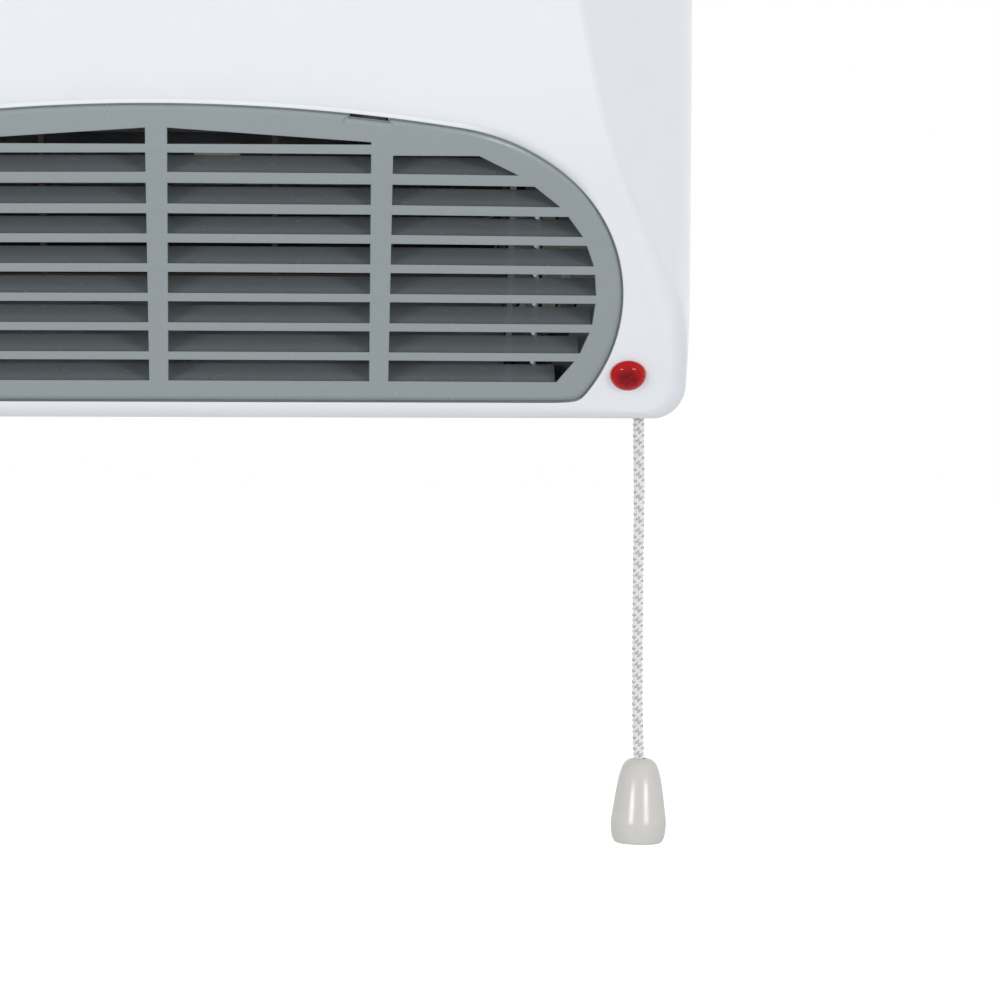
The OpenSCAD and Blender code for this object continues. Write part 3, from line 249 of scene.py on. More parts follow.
def outline(inset):
    """Outline of the casing against the wall, as rows of x, z and outward normal."""
    low_steps, corner_steps, side_steps, top_steps = 52, 14, 70, 48
    xs = side_x(Z_BOT + LOW_CORNER) - inset
    rb = LOW_CORNER - inset
    rt = TOP_CORNER - inset
    half = [((xs - rb) * i / low_steps, Z_BOT + inset, 0, -1) for i in range(low_steps)]
    half += arc(xs - rb, Z_BOT + inset + rb, rb, -90, 0, corner_steps)
    for i in range(side_steps):
        z = mix(Z_BOT + LOW_CORNER, Z_TOP - TOP_CORNER, i / side_steps)
        half.append((side_x(z) - inset, z, 1, 0))
    half += arc(HALF_W - inset - rt, Z_TOP - inset - rt, rt, 0, 90, corner_steps)
    edge = HALF_W - TOP_CORNER
    half += [(edge * (1 - i / top_steps), Z_TOP - inset, 0, 1) for i in range(top_steps + 1)]
    return half + [(-x, z, -nx, nz) for x, z, nx, nz in reversed(half[1:-1])]


def open_point(a, inset):
    """Point of the grille opening at an angle about its centre."""
    u = Vector((abs(math.cos(a)), math.sin(a)))
    centre, radius = SIDE_C, SIDE_R
    for c, r, start in ((SHOULDER_C, SHOULDER_R, SHOULDER_A), (TOP_C, TOP_R, TOP_A)):
        joint = c + (r - inset) * Vector((math.cos(start), math.sin(start)))
        if u.y * joint.x > joint.y * u.x:
            centre, radius = c, r
    along = u.dot(centre)
    left = (radius - inset) ** 2 - centre.length_squared + along ** 2
    r = along + math.sqrt(left) if left > 0 else FAR
    if u.y < -0.001:
        low = (OPEN_CUT - inset) / -u.y
        least, most = min(r, low), max(r, low)
        r = least * (1 + (least / most) ** OPEN_BLEND) ** (-1 / OPEN_BLEND)
    return Vector((r * math.cos(a), OPEN_Z + r * math.sin(a)))


def open_normal(a, inset):
    """Outward normal of the opening at an angle."""
    step = 0.004
    along = open_point(a + step, inset) - open_point(a - step, inset)
    return Vector((along.y, -along.x)).normalized()


def pane_x(z):
    """Half width of the outer openings at a height."""
    return PANE_A * (1 - (abs(z - PANE_Z) / PANE_B) ** PANE_N) ** (1 / PANE_N)


# ---- Meshes ----
class Shape:
    """Points in millimetres and faces, gathered into one mesh."""

    def __init__(self):
        self.points = []
        self.faces = []
        self.slots = []
        self.slot = 0

    def add(self, points, place=None):
        """Adds points, moved to a place, and returns their numbers."""
        start = len(self.points)
        for p in points:
            v = Vector(p)
            self.points.append(place @ v if place else v)
        return list(range(start, len(self.points)))

    def face(self, ids):
        """Adds a face, unless its points are too few."""
        if len(set(ids)) > 2:
            self.faces.append(list(dict.fromkeys(ids)))
            self.slots.append(self.slot)

    def band(self, a, b):
        """Quads between two closed rows of points."""
        n = len(a)
        for i in range(n):
            j = (i + 1) % n
            self.face([a[i], a[j], b[j], b[i]])

    def skin_over(self, rings, closed=False):
        """Quads over a row of closed rings; closed joins the last ring to the first."""
        for a, b in zip(rings, rings[1:]):
            self.band(a, b)
        if closed:
            self.band(rings[-1], rings[0])

    def body(self, rings):
        """Quads over a row of closed rings, with a face at each end."""
        self.skin_over(rings)
        self.face(rings[0])
        self.face(rings[-1])

    def revolve(self, profile, steps, place):
        """Turns rows of radius and height about the local z axis."""
        rings = []
        for r, z in profile:
            if r < 1e-6:
                rings.append(self.add([(0, 0, z)], place) * steps)
                continue
            turn = [2 * math.pi * i / steps for i in range(steps)]
            rings.append(self.add([(r * math.cos(t), r * math.sin(t), z) for t in turn], place))
        self.skin_over(rings)

    def fill(self, loops, height, up, levels):
        """Fills a flat region bounded by loops of x and z, cut along level lines."""
        mesh = bpy.data.meshes.new("fill")
        flat = [p for loop in loops for p in loop]
        edges = []
        start = 0
        for loop in loops:
            n = len(loop)
            edges += [(start + i, start + (i + 1) % n) for i in range(n)]
            start += n
        mesh.from_pydata([(p[0], p[1], 0) for p in flat], edges, [])
        bm = bmesh.new()
        bm.from_mesh(mesh)
        bmesh.ops.triangle_fill(bm, use_beauty=True, edges=bm.edges[:], normal=(0, 0, 1))
        for level in levels:
            everything = bm.verts[:] + bm.edges[:] + bm.faces[:]
            bmesh.ops.bisect_plane(bm, geom=everything, dist=0.001, plane_co=(0, level, 0),
                                   plane_no=(0, 1, 0))
        ids = self.add([height(v.co.x, v.co.y) for v in bm.verts])
        bm.verts.index_update()
        for f in bm.faces:
            row = [ids[v.index] for v in f.verts]
            if (f.normal.z > 0) != up:
                row.reverse()
            self.face(row)
        bm.free()
        bpy.data.meshes.remove(mesh)

    def make(self, name, materials, sharp=30, weld=False):
        """Makes the object, in metres. Edges past the sharp angle stay sharp."""
        mesh = bpy.data.meshes.new(name)
        mesh.from_pydata([p * MM for p in self.points], [], self.faces)
        for m in materials:
            mesh.materials.append(m)
        for poly, slot in zip(mesh.polygons, self.slots):
            poly.material_index = slot
        obj = bpy.data.objects.new(name, mesh)
        bpy.context.scene.collection.objects.link(obj)
        tidy_mesh(mesh, weld)
        shade(mesh, sharp)
        return obj


def tidy_mesh(mesh, weld):
    """Turns the faces outwards, and with weld joins the points that meet."""
    bm = bmesh.new()
    bm.from_mesh(mesh)
    if weld:
        bmesh.ops.remove_doubles(bm, verts=bm.verts, dist=2e-6)
    bmesh.ops.recalc_face_normals(bm, faces=bm.faces)
    bm.to_mesh(mesh)
    bm.free()


def shade(mesh, sharp):
    """Smooth shading, with edges sharper than an angle in degrees left sharp."""
    mesh.polygons.foreach_set("use_smooth", [True] * len(mesh.polygons))
    mesh.set_sharp_from_angle(angle=math.radians(sharp))


def at(x, y, z, *turns):
    """Place of a piece: a point, then turns about its own axes."""
    place = Matrix.Translation((x, y, z))
    for axis, angle in turns:
        place = place @ Matrix.Rotation(angle, 4, axis)
    return place


# ---- Materials ----
BRUSHED = (1, 12, 1)
CLOTH = ((3500, 0.03), (1, 1, 4))
LENS_CELLS = 900
# Radii in metres over which the lens's painted shade fades into its plain red
LENS_SHADE_FADE = (0.0022, 0.0046)


def nodes_of(material):
    """Node tree of a material, with one shader joined to its output."""
    material.use_nodes = True
    tree = material.node_tree
    tree.nodes.clear()
    out = tree.nodes.new("ShaderNodeOutputMaterial")
    shader = tree.nodes.new("ShaderNodeBsdfPrincipled")
    tree.links.new(shader.outputs["BSDF"], out.inputs["Surface"])
    return tree, shader


def noise(tree, scale, detail=3.0, stretch=(1, 1, 1)):
    """Noise in the object's own space, in cells per metre."""
    place = tree.nodes.new("ShaderNodeTexCoord")
    mapping = tree.nodes.new("ShaderNodeMapping")
    mapping.inputs["Scale"].default_value = stretch
    grain = tree.nodes.new("ShaderNodeTexNoise")
    grain.inputs["Scale"].default_value = scale
    grain.inputs["Detail"].default_value = detail
    tree.links.new(place.outputs["Object"], mapping.inputs["Vector"])
    tree.links.new(mapping.outputs["Vector"], grain.inputs["Vector"])
    return grain.outputs["Fac"]


def spread(tree, source, low, high):
    """Maps noise about its middle to a range."""
    node = tree.nodes.new("ShaderNodeMapRange")
    node.inputs["From Min"].default_value = 0.3
    node.inputs["From Max"].default_value = 0.7
    node.inputs["To Min"].default_value = low
    node.inputs["To Max"].default_value = high
    tree.links.new(source, node.inputs["Value"])
    return node.outputs["Result"]


def vary(tree, source, colour, other):
    """Colour that wanders between two close tones."""
    node = tree.nodes.new("ShaderNodeMix")
    node.data_type = "RGBA"
    node.inputs["A"].default_value = (*colour, 1)
    node.inputs["B"].default_value = (*other, 1)
    tree.links.new(spread(tree, source, 0, 1), node.inputs["Factor"])
    return node.outputs["Result"]


def bump(tree, shader, source, depth):
    """Bump of a real depth in millimetres."""
    node = tree.nodes.new("ShaderNodeBump")
    node.inputs["Strength"].default_value = 1.0
    node.inputs["Distance"].default_value = depth * MM
    tree.links.new(source, node.inputs["Height"])
    tree.links.new(node.outputs["Normal"], shader.inputs["Normal"])


def finish_of(name, colour, other, rough, grain=(400, 0.004), stretch=(1, 1, 1), metal=0.0,
              **extra):
    """A finish whose tone, gloss and surface wander with noise. The grain is in cells per
    metre and millimetres of depth."""
    material = bpy.data.materials.new(name)
    tree, shader = nodes_of(material)
    broad = noise(tree, grain[0] / 12, 4, stretch)
    fine = noise(tree, grain[0], 3, stretch)
    tree.links.new(vary(tree, broad, colour, other), shader.inputs["Base Color"])
    tree.links.new(spread(tree, broad, rough[0], rough[1]), shader.inputs["Roughness"])
    bump(tree, shader, fine, grain[1])
    shader.inputs["Metallic"].default_value = metal
    for socket, value in extra.items():
        shader.inputs[socket.replace("_", " ")].default_value = value
    return material


def lens_finish():
    """Red moulding with painted shade behind the middle of its dome, for the unlit lamp seen
    through it, broken into cells that stand for its inner facets.
    """
    material = bpy.data.materials.new("red_lens")
    tree, shader = nodes_of(material)
    place = tree.nodes.new("ShaderNodeTexCoord")
    cells = tree.nodes.new("ShaderNodeTexVoronoi")
    cells.inputs["Scale"].default_value = LENS_CELLS
    tree.links.new(place.outputs["Object"], cells.inputs["Vector"])
    away = tree.nodes.new("ShaderNodeVectorMath")
    away.operation = "DISTANCE"
    away.inputs[1].default_value = LENS_SHADE_CENTRE
    tree.links.new(place.outputs["Object"], away.inputs[0])
    share = tree.nodes.new("ShaderNodeMapRange")
    share.interpolation_type = "SMOOTHSTEP"
    share.inputs["From Min"].default_value = LENS_SHADE_FADE[0]
    share.inputs["From Max"].default_value = LENS_SHADE_FADE[1]
    tree.links.new(away.outputs["Value"], share.inputs["Value"])
    # Painted shade: darker reds in cells over the middle of the dome
    dark = vary(tree, cells.outputs["Color"], (0.1, 0.001, 0.005), (0.22, 0.002, 0.006))
    both = tree.nodes.new("ShaderNodeMix")
    both.data_type = "RGBA"
    both.inputs["B"].default_value = (0.5, 0.003, 0.004, 1)
    tree.links.new(share.outputs["Result"], both.inputs["Factor"])
    tree.links.new(dark, both.inputs["A"])
    tree.links.new(both.outputs["Result"], shader.inputs["Base Color"])
    shader.inputs["Roughness"].default_value = 0.1
    shader.inputs["Specular IOR Level"].default_value = 0.2
    return material


def make_finishes():
    """Every finish by its slot: two close tones, a range of roughness and a grain."""
    made = {}

    def add(name, *look, **extra):
        made[name] = finish_of(name, *look, **extra)

    add("white_plastic", (0.765, 0.785, 0.825), (0.755, 0.775, 0.815), (0.16, 0.24),
        (900, 0.0012), Specular_IOR_Level=0.3)
    add("grey_plastic", (0.270, 0.305, 0.319), (0.264, 0.299, 0.313), (0.22, 0.28),
        (2600, 0.005))
    made["red_lens"] = lens_finish()
    add("lamp_glass", (0.85, 0.55, 0.35), (0.8, 0.48, 0.3), (0.08, 0.14))
    # Partly painted shade: this steel is darker than its own galvanised grey, so the inside reads
    # dark through the grille
    add("sheet_steel", (0.34, 0.35, 0.37), (0.28, 0.29, 0.31), (0.35, 0.5), (700, 0.004),
        BRUSHED, 1.0)
    add("dark_steel", (0.1, 0.1, 0.11), (0.07, 0.07, 0.075), (0.38, 0.55), (900, 0.006),
        BRUSHED, 0.6)
    add("screw_steel", (0.5, 0.5, 0.52), (0.42, 0.42, 0.44), (0.22, 0.38), (2500, 0.004),
        metal=1.0)
    add("bronze", (0.6, 0.42, 0.18), (0.5, 0.34, 0.14), (0.3, 0.45), (2500, 0.004), metal=1.0)
    add("black_rubber", (0.02, 0.02, 0.02), (0.03, 0.03, 0.03), (0.6, 0.75), (2500, 0.01))
    add("coil_copper", (0.35, 0.14, 0.05), (0.26, 0.09, 0.03), (0.3, 0.42), (1500, 0.03),
        BRUSHED, 0.5)
    # Painted shade: the mica is darkened far below its own silvery brown, so the inside reads dark
    # through the grille's slits
    add("mica_board", (0.065, 0.052, 0.035), (0.048, 0.038, 0.026), (0.4, 0.6), (1600, 0.01))
    add("heating_wire", (0.2, 0.18, 0.17), (0.13, 0.11, 0.12), (0.4, 0.6), (2500, 0.01),
        metal=1.0)
    add("cream_plastic", (0.72, 0.68, 0.58), (0.68, 0.64, 0.54), (0.35, 0.48), (1800, 0.005))
    add("black_plastic", (0.02, 0.02, 0.02), (0.03, 0.03, 0.03), (0.3, 0.42), (1800, 0.005))
    add("red_plastic", (0.4, 0.05, 0.03), (0.34, 0.04, 0.025), (0.3, 0.42), (1800, 0.005))
    add("wire_cover", (0.06, 0.05, 0.05), (0.09, 0.07, 0.07), (0.45, 0.6), (2500, 0.01))
    add("white_cord", (0.80, 0.80, 0.78), (0.72, 0.72, 0.70), (0.6, 0.8), *CLOTH,
        Sheen_Weight=0.3, Sheen_Roughness=0.5)
    add("grey_yarn", (0.5, 0.51, 0.51), (0.42, 0.43, 0.43), (0.6, 0.8), *CLOTH,
        Sheen_Weight=0.3, Sheen_Roughness=0.5)
    add("knob_plastic", (0.585, 0.568, 0.54), (0.565, 0.548, 0.52), (0.2, 0.3), (900, 0.002),
        Subsurface_Weight=0.25, Subsurface_Radius=(0.004, 0.003, 0.002), Subsurface_Scale=1.0)
    return made


def finish_nodes(finishes):
    """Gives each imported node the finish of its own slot."""
    names = {m["slot"] for m in frame["record"]["materials"]}
    for node in frame["nodes"].values():
        for holder in node.material_slots:
            slot = holder.material.name.split(".")[0] if holder.material else ""
            if slot in names:
                holder.material = finishes[slot]


# ---- Camera, light and floor ----
CAMERA_AT = (0.030566, -1.810945, 0.023614)
CAMERA_YAW = 0.0336
CAMERA_PITCH = 0.0825
CAMERA_ROLL = 0.0053
CAMERA_LENS = 241.29
FLOOR_Z = -460
FLOOR_REACH = 4000
FLOOR_GLOW = 0.5
WORLD_LIGHT = 0.79
LAMP_AIM = (0, -0.08, 0)
LAMP_SIZE = (0.7, 0.25)
LAMP_POWER = 9.5


def camera():
    """Camera at the photograph's place, aim and lens."""
    data = bpy.data.cameras.new("camera")
    data.lens = CAMERA_LENS
    data.sensor_width = 36
    obj = bpy.data.objects.new("camera", data)
    bpy.context.scene.collection.objects.link(obj)
    turned = Matrix.Rotation(-CAMERA_YAW, 4, "Z")
    level = turned @ Matrix.Rotation(math.pi / 2 - CAMERA_PITCH, 4, "X")
    roll = Matrix.Rotation(CAMERA_ROLL, 4, "Z")
    obj.matrix_world = Matrix.Translation(CAMERA_AT) @ level @ roll
    bpy.context.scene.camera = obj


def white_to_camera(tree, lit, white, path):
    """Mixes a white look in for what the camera sees, straight or in gloss and glass."""
    seen = path.outputs["Is Camera Ray"]
    for ray in ("Is Glossy Ray", "Is Transmission Ray"):
        add = tree.nodes.new("ShaderNodeMath")
        add.operation = "MAXIMUM"
        tree.links.new(seen, add.inputs[0])
        tree.links.new(path.outputs[ray], add.inputs[1])
        seen = add.outputs["Value"]
    both = tree.nodes.new("ShaderNodeMixShader")
    tree.links.new(seen, both.inputs["Fac"])
    tree.links.new(lit, both.inputs[1])
    tree.links.new(white, both.inputs[2])
    return both.outputs["Shader"]


def world():
    """Soft light from all round, and plain white where the camera looks past the object."""
    place = bpy.data.worlds.new("studio")
    bpy.context.scene.world = place
    place.use_nodes = True
    tree = place.node_tree
    tree.nodes.clear()
    out = tree.nodes.new("ShaderNodeOutputWorld")
    lit = tree.nodes.new("ShaderNodeBackground")
    lit.inputs["Color"].default_value = (0.97, 0.985, 1.0, 1)
    lit.inputs["Strength"].default_value = WORLD_LIGHT
    white = tree.nodes.new("ShaderNodeBackground")
    white.inputs["Color"].default_value = (1, 1, 1, 1)
    white.inputs["Strength"].default_value = 1.0
    path = tree.nodes.new("ShaderNodeLightPath")
    mixed = white_to_camera(tree, lit.outputs["Background"], white.outputs["Background"], path)
    tree.links.new(mixed, out.inputs["Surface"])


def floor():
    """Pale floor, lifted to white for the camera, which keeps the shadow."""
    shape = Shape()
    corners = ((-1, -1), (1, -1), (1, 1), (-1, 1))
    shape.face(shape.add([(sx * FLOOR_REACH, sy * FLOOR_REACH, FLOOR_Z) for sx, sy in corners]))
    material = bpy.data.materials.new("floor")
    tree, shader = nodes_of(material)
    grain = noise(tree, 30, 2)
    tree.links.new(vary(tree, grain, (0.8, 0.8, 0.8), (0.785, 0.785, 0.785)),
                   shader.inputs["Base Color"])
    shader.inputs["Roughness"].default_value = 0.9
    glow = tree.nodes.new("ShaderNodeMath")
    glow.operation = "MULTIPLY"
    glow.inputs[1].default_value = FLOOR_GLOW
    path = tree.nodes.new("ShaderNodeLightPath")
    tree.links.new(path.outputs["Is Camera Ray"], glow.inputs[0])
    shader.inputs["Emission Color"].default_value = (1, 1, 1, 1)
    tree.links.new(glow.outputs["Value"], shader.inputs["Emission Strength"])
    shape.make("floor", [material])


def area_light(name, place, aim, size, power):
    """Rectangular lamp that the camera doesn't see."""
    data = bpy.data.lights.new(name, "AREA")
    data.shape = "RECTANGLE"
    data.size = size[0]
    data.size_y = size[1]
    data.energy = power
    obj = bpy.data.objects.new(name, data)
    bpy.context.scene.collection.objects.link(obj)
    turn = (Vector(aim) - Vector(place)).to_track_quat("-Z", "Y")
    obj.matrix_world = Matrix.Translation(place) @ turn.to_matrix().to_4x4()
    obj.visible_camera = False


def lights():
    """Two low lamps in front, whose reflections are the lens's two highlights."""
    area_light("left", (-1.15, -1.85, 0.12), LAMP_AIM, LAMP_SIZE, LAMP_POWER)
    area_light("right", (1.2, -1.85, 0.12), LAMP_AIM, LAMP_SIZE, LAMP_POWER)


# ---- Casing mesh ----
SIDE_ROUND = (6, 14)
TOP_ROUND = (14, 22)
LOW_ROUND = (4.2, 5)
OUT_STEPS = (12, 14, 8, 14)
IN_STEPS = (6, 4, 2, 4)


def round_of(nx, nz, k):
    """Reach (k = 0) or drop (k = 1) of the rounded edge towards a direction."""
    return SIDE_ROUND[k] * nx * nx + (TOP_ROUND[k] if nz > 0 else LOW_ROUND[k]) * nz * nz


PLAIN_LIP = ((0, 1.6), (0, 0.35), (0.04, 0.2), (0.12, 0.08), (0.22, 0.03), (0.35, 0), (0.5, 0),
             (0.65, 0), (0.8, 0))
BEAD_LIP = ((0, 1.6), (0, 0.4), (0.08, 0.26), (0.3, 0.16), (0.55, 0.2), (0.85, 0.36), (1.1, 0.38),
            (1.4, 0.2), (1.8, 0))
WIDE_LIP = ((0, 2.5), (0, 2.25), (0.08, 1.95), (0.35, 1.55), (0.7, 1.12), (1.05, 0.74), (1.4, 0.42),
            (1.8, 0.16), (2.5, 0))


def lip(normal):
    """Rolled edge at the opening, as rows of offset and setback: a bead along the top,
    a wide roll at the shoulders and a plain edge elsewhere."""
    top = ease(0.5, 0.8, normal.y)
    wide = ease(0.12, 0.4, abs(normal.x))
    rows = []
    for plain, bead, roll in zip(PLAIN_LIP, BEAD_LIP, WIDE_LIP):
        rows.append([mix(plain[k], mix(bead[k], roll[k], wide), top) for k in (0, 1)])
    return rows


def fold_share(p, e):
    """Share of the way from p to e where the front meets the flank."""
    return bisect(0.0, 1.0, lambda s: front(p.lerp(e, s).y) < flank(p.lerp(e, s).x), 18)


def spoke_shares(p, e, reach, steps):
    """Shares from p to e, closest together at the crease and at the rounded edge, each with
    its share of the edge. The steps are those before, across and past the crease, and round
    the edge."""
    edge = 1 - reach
    fold = fold_share(p, e)
    c = p.lerp(e, fold)
    half = (crease(c.y) / math.tan(FLANK_SLOPE) + 1.5) / (e - p).length
    f0 = clamp01(min(fold - half, edge * 0.8))
    f1 = max(f0, min(fold + half, edge * 0.9))
    shares = [f0 * i / steps[0] for i in range(steps[0])]
    shares += [mix(f0, f1, i / steps[1]) for i in range(steps[1])]
    shares += [mix(f1, edge, i / steps[2]) for i in range(steps[2])]
    shares += [edge + reach * math.sin(math.pi / 2 * i / steps[3]) for i in range(steps[3] + 1)]
    return [(s, 0 if s <= edge else (s - edge) / reach) for s in shares]


def spoke(row, inset, steps, lips):
    """Points from the opening over the front to the outline, for one row of the outline."""
    x, z, nx, nz = row
    e = Vector((x, z))
    a = math.atan2(z - OPEN_Z, x)
    p = open_point(a, 0)
    n = open_normal(a, 0)
    points = []
    if lips:
        rows = lip(n)
        for out, back in rows[:-1]:
            c = p + n * out
            points.append((c.x, -skin(c.x, c.y) + back, c.y))
        p = p + n * rows[-1][0]
    length = (e - p).length
    facing = max(0.3, (e - p).normalized().dot(Vector((nx, nz))))
    reach = min(0.94, (round_of(nx, nz, 0) - inset) / facing / length)
    drop = round_of(nx, nz, 1) - inset
    for s, f in spoke_shares(p, e, reach, steps):
        c = p.lerp(e, s)
        fall = drop * (1 - math.sqrt(max(0, 1 - f * f)))
        points.append((c.x, -skin(c.x, c.y, inset) + fall, c.y))
    return points


def casing_shell():
    """The casing as one closed skin, outside and inside."""
    shape = Shape()
    wall_steps = 5
    rows = []
    for out_row, in_row in zip(outline(0), outline(WALL)):
        outside = spoke(out_row, 0, OUT_STEPS, True)
        inside = spoke(in_row, WALL, IN_STEPS, False)
        depth = outside[-1][1]
        wall = []
        for i in range(1, wall_steps):
            wall.append((out_row[0], depth * (1 - i / wall_steps), out_row[1]))
        back = [(out_row[0], 0, out_row[1]), (in_row[0], 0, in_row[1])]
        rows.append(outside + wall + back + inside[::-1])
    ids = [shape.add(row) for row in rows]
    rings = [[row[k] for row in ids] for k in range(len(ids[0]))]
    shape.skin_over(rings, True)
    return shape


def slot_cutter(shape, x):
    """A slot with round ends and chamfered upper edges."""
    half = SLOT_W / 2
    ends = [(SLOT_BACK + half, -90), (SLOT_FRONT - half, 90)]
    levels = ((1.0, Z_TOP + 1), (0.35, Z_TOP + 0.01), (0, Z_TOP - 0.4), (0, Z_TOP - WALL - 1))
    rings = []
    for grow, z in levels:
        ring = []
        r = half + grow
        for depth, start in ends:
            for i in range(13):
                a = math.radians(start + 90 - 15 * (i - 6))
                ring.append((x + r * math.sin(a), -depth - r * math.cos(a), z))
        rings.append(shape.add(ring))
    shape.body(rings)


def pin_cutter(shape, place, d, low, high):
    """A round pin along the local z axis."""
    r = d / 2
    rings = []
    for z in (low, high):
        turn = [2 * math.pi * i / PIN_SIDES for i in range(PIN_SIDES)]
        rings.append(shape.add([(r * math.cos(t), r * math.sin(t), z) for t in turn], place))
    shape.body(rings)


LAMP_PLACE = at(LAMP_X, -front(LAMP_Z), LAMP_Z, ("X", LOWER_TILT), ("X", math.pi / 2))


def casing(finishes):
    """White casing with its opening, air slots and holes."""
    shell = casing_shell().make("casing", [finishes["white_plastic"]])
    cuts = Shape()
    for i in range(SLOT_COUNT):
        slot_cutter(cuts, (i - (SLOT_COUNT - 1) / 2) * SLOT_PITCH)
    through = WALL + 2
    for x, z in SCREW_PLACES:
        pin_cutter(cuts, at(x, -SCREW_DEPTH, z), SCREW_HOLE, -through, through)
    pin_cutter(cuts, at(CORD_X, -CORD_DEPTH, Z_BOT), EYELET_HOLE, -through, through)
    pin_cutter(cuts, LAMP_PLACE, LENS_HOLE, -STEM_LEN, 4)
    cutter = cuts.make("cutter", [finishes["white_plastic"]])
    hole = shell.modifiers.new("holes", "BOOLEAN")
    hole.operation = "DIFFERENCE"
    hole.solver = "EXACT"
    hole.object = cutter
    bpy.context.view_layer.update()
    cut = shell.evaluated_get(bpy.context.evaluated_depsgraph_get())
    applied = bpy.data.meshes.new_from_object(cut)
    shell.modifiers.clear()
    shell.data = applied
    bpy.data.objects.remove(cutter)
    shade(applied, 30)
    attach(shell, "chassis")
    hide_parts("front_housing")


# ---- Grille mesh ----
EDGE = 0.22
RIM_BEVEL = ((0, 1.1), (0.1, 0.8), (0.25, 0.6), (0.42, 0.46), (0.5, 0.405), (1.06, 0.06),
             (1.14, 0.02), (1.25, 0))
HOLE_BEVEL = [(EDGE * (1 - math.cos(math.radians(a))), EDGE * (1 - math.sin(math.radians(a))))
              for a in (0, 30, 60, 90)]
LEDGE_DEPTH = 1.3
RIM_SQUASH = 0.42
SKIRT_OUT = GRILLE_GAP + 1.3
SKIRT_IN = GRILLE_GAP + 2.8
WEB_SET = 1.5
WEB_DEPTH = 17.0
WEB_T = 1.2
HOOK_ROOT = 1.6
HOOK_SPACE = 3.5
HOOK_W = 9
HOOK_T = 2.2
TAB_X = 97.5
TAB_W = 1.2
TAB_H = 0.75
LEVELS = [mix(BEND_START, BEND_END, i / 16) for i in range(17)]
NOTCH_X = (48.8, 59.3)
NOTCH_IN = 0.8


def face_point(t):
    """Places x and z on the grille's face, set back by t."""
    return lambda x, z: (x, -front(z) + GRILLE_SET + t, z)


def offset(loop, d):
    """Moves a loop that runs anticlockwise outwards, with its corners mitred."""
    moved = []
    n = len(loop)
    for i in range(n):
        a, b, c = Vector(loop[i - 1]), Vector(loop[i]), Vector(loop[(i + 1) % n])
        u = (b - a).normalized()
        v = (c - b).normalized()
        m = Vector((u.y + v.y, -u.x - v.x))
        if m.length < 1e-6:
            m = Vector((u.y, -u.x))
        m.normalize()
        reach = 1 / max(0.5, m.dot(Vector((u.y, -u.x))))
        moved.append(tuple(b + m * d * reach))
    return moved


def rim_loop(inset, notched=True):
    """Outline of the grille, anticlockwise, with the two clip notches at the top. Its points
    are squashed toward the ends, where it bends most."""
    loop = []
    count = 360
    for i in range(count):
        a = 2 * math.pi * (i + 0.5) / count
        p = open_point(math.atan2(math.sin(a) * RIM_SQUASH, math.cos(a)), inset)
        loop.append((p.x, p.y))
    if not notched:
        return loop
    cut = []
    for i, p in enumerate(loop):
        inside = NOTCH_X[0] < abs(p[0]) < NOTCH_X[1] and p[1] > OPEN_Z
        q = loop[(i + 1) % len(loop)]
        next_in = NOTCH_X[0] < abs(q[0]) < NOTCH_X[1] and q[1] > OPEN_Z
        drop = NOTCH_IN if inside else 0
        cut.append((p[0], p[1] - drop))
        if inside != next_in:
            edge = NOTCH_X[0] if min(abs(p[0]), abs(q[0])) < NOTCH_X[0] else NOTCH_X[1]
            edge = math.copysign(edge, p[0])
            share = (edge - p[0]) / (q[0] - p[0])
            z = mix(p[1], q[1], share)
            cut += [(edge, z - drop), (edge, z - NOTCH_IN + drop)]
    return cut


def row_z(i):
    """Lower edge of an opening, before its droop."""
    return SLOT_Z + i * BAR_PITCH + (ROW_GAIN if i == BAR_COUNT else 0)


def bar_face(i):
    """Height of the bar under an opening."""
    return BAR_H + BAR_GAIN * (i / BAR_COUNT) ** 4


TOP_BAR = row_z(BAR_COUNT) + 5.0
PANE_TOP = TOP_BAR - 0.6


def upright_half(z):
    """Half width of an upright at a height."""
    share = clamp01((z - SLOT_Z) / (TOP_BAR - SLOT_Z))
    return (UPRIGHT_W + UPRIGHT_GAIN * share) / 2


def droop(x, z):
    """How far the bars hang below their middle at a place."""
    share = clamp01((z - SLOT_Z) / (TOP_BAR - SLOT_Z))
    return (DROOP_LOW + DROOP_HIGH * share ** 2) * (x / 100) ** 2


def window(z0, z1, left, right, top_droop=1):
    """Loop of one opening between two bars. The ends at a height come from left and right,
    and its top hangs by a share of the droop."""
    steps = 6
    loop = []
    for side in (right, left):
        row = []
        for i in range(steps + 1):
            z = mix(z0, z1, i / steps)
            first = z - droop(side(z), z) * mix(1, top_droop, i / steps)
            row.append((side(first), first))
        loop += row if side is right else row[::-1]
    return loop


def row_top(i):
    """Upper edge of an outer opening."""
    return PANE_TOP if i == BAR_COUNT else row_z(i + 1) - bar_face(i + 1)


def windows():
    """Loops of every opening, for the right half and mirrored for the left."""
    half = []
    for i in range(BAR_COUNT + 1):
        z0, z1 = row_z(i), row_top(i)
        x0, x1 = pane_x(z0), pane_x(z1)
        half.append(window(z0, z1, lambda z: UPRIGHT_X + upright_half(z),
                           lambda z: mix(x0, x1, (z - z0) / (z1 - z0)),
                           0 if i == BAR_COUNT else 1))
        z1 = TOP_BAR if i == BAR_COUNT else z1
        half.append(window(z0, z1, upright_half, lambda z: UPRIGHT_X - upright_half(z)))
    low = TOP_BAR + BAR_H
    (x0, z0), (x1, z1) = PANE_SLANT
    left, right = upright_half(low), UPRIGHT_X - upright_half(low)
    ends = [mix(z0, z1, (x - x0) / (x1 - x0)) for x in (left, right)]
    half.append([(left, low), (right, low), (right, ends[1]), (left, ends[0])])
    return half + [[(-x, z) for x, z in reversed(loop)] for loop in half]


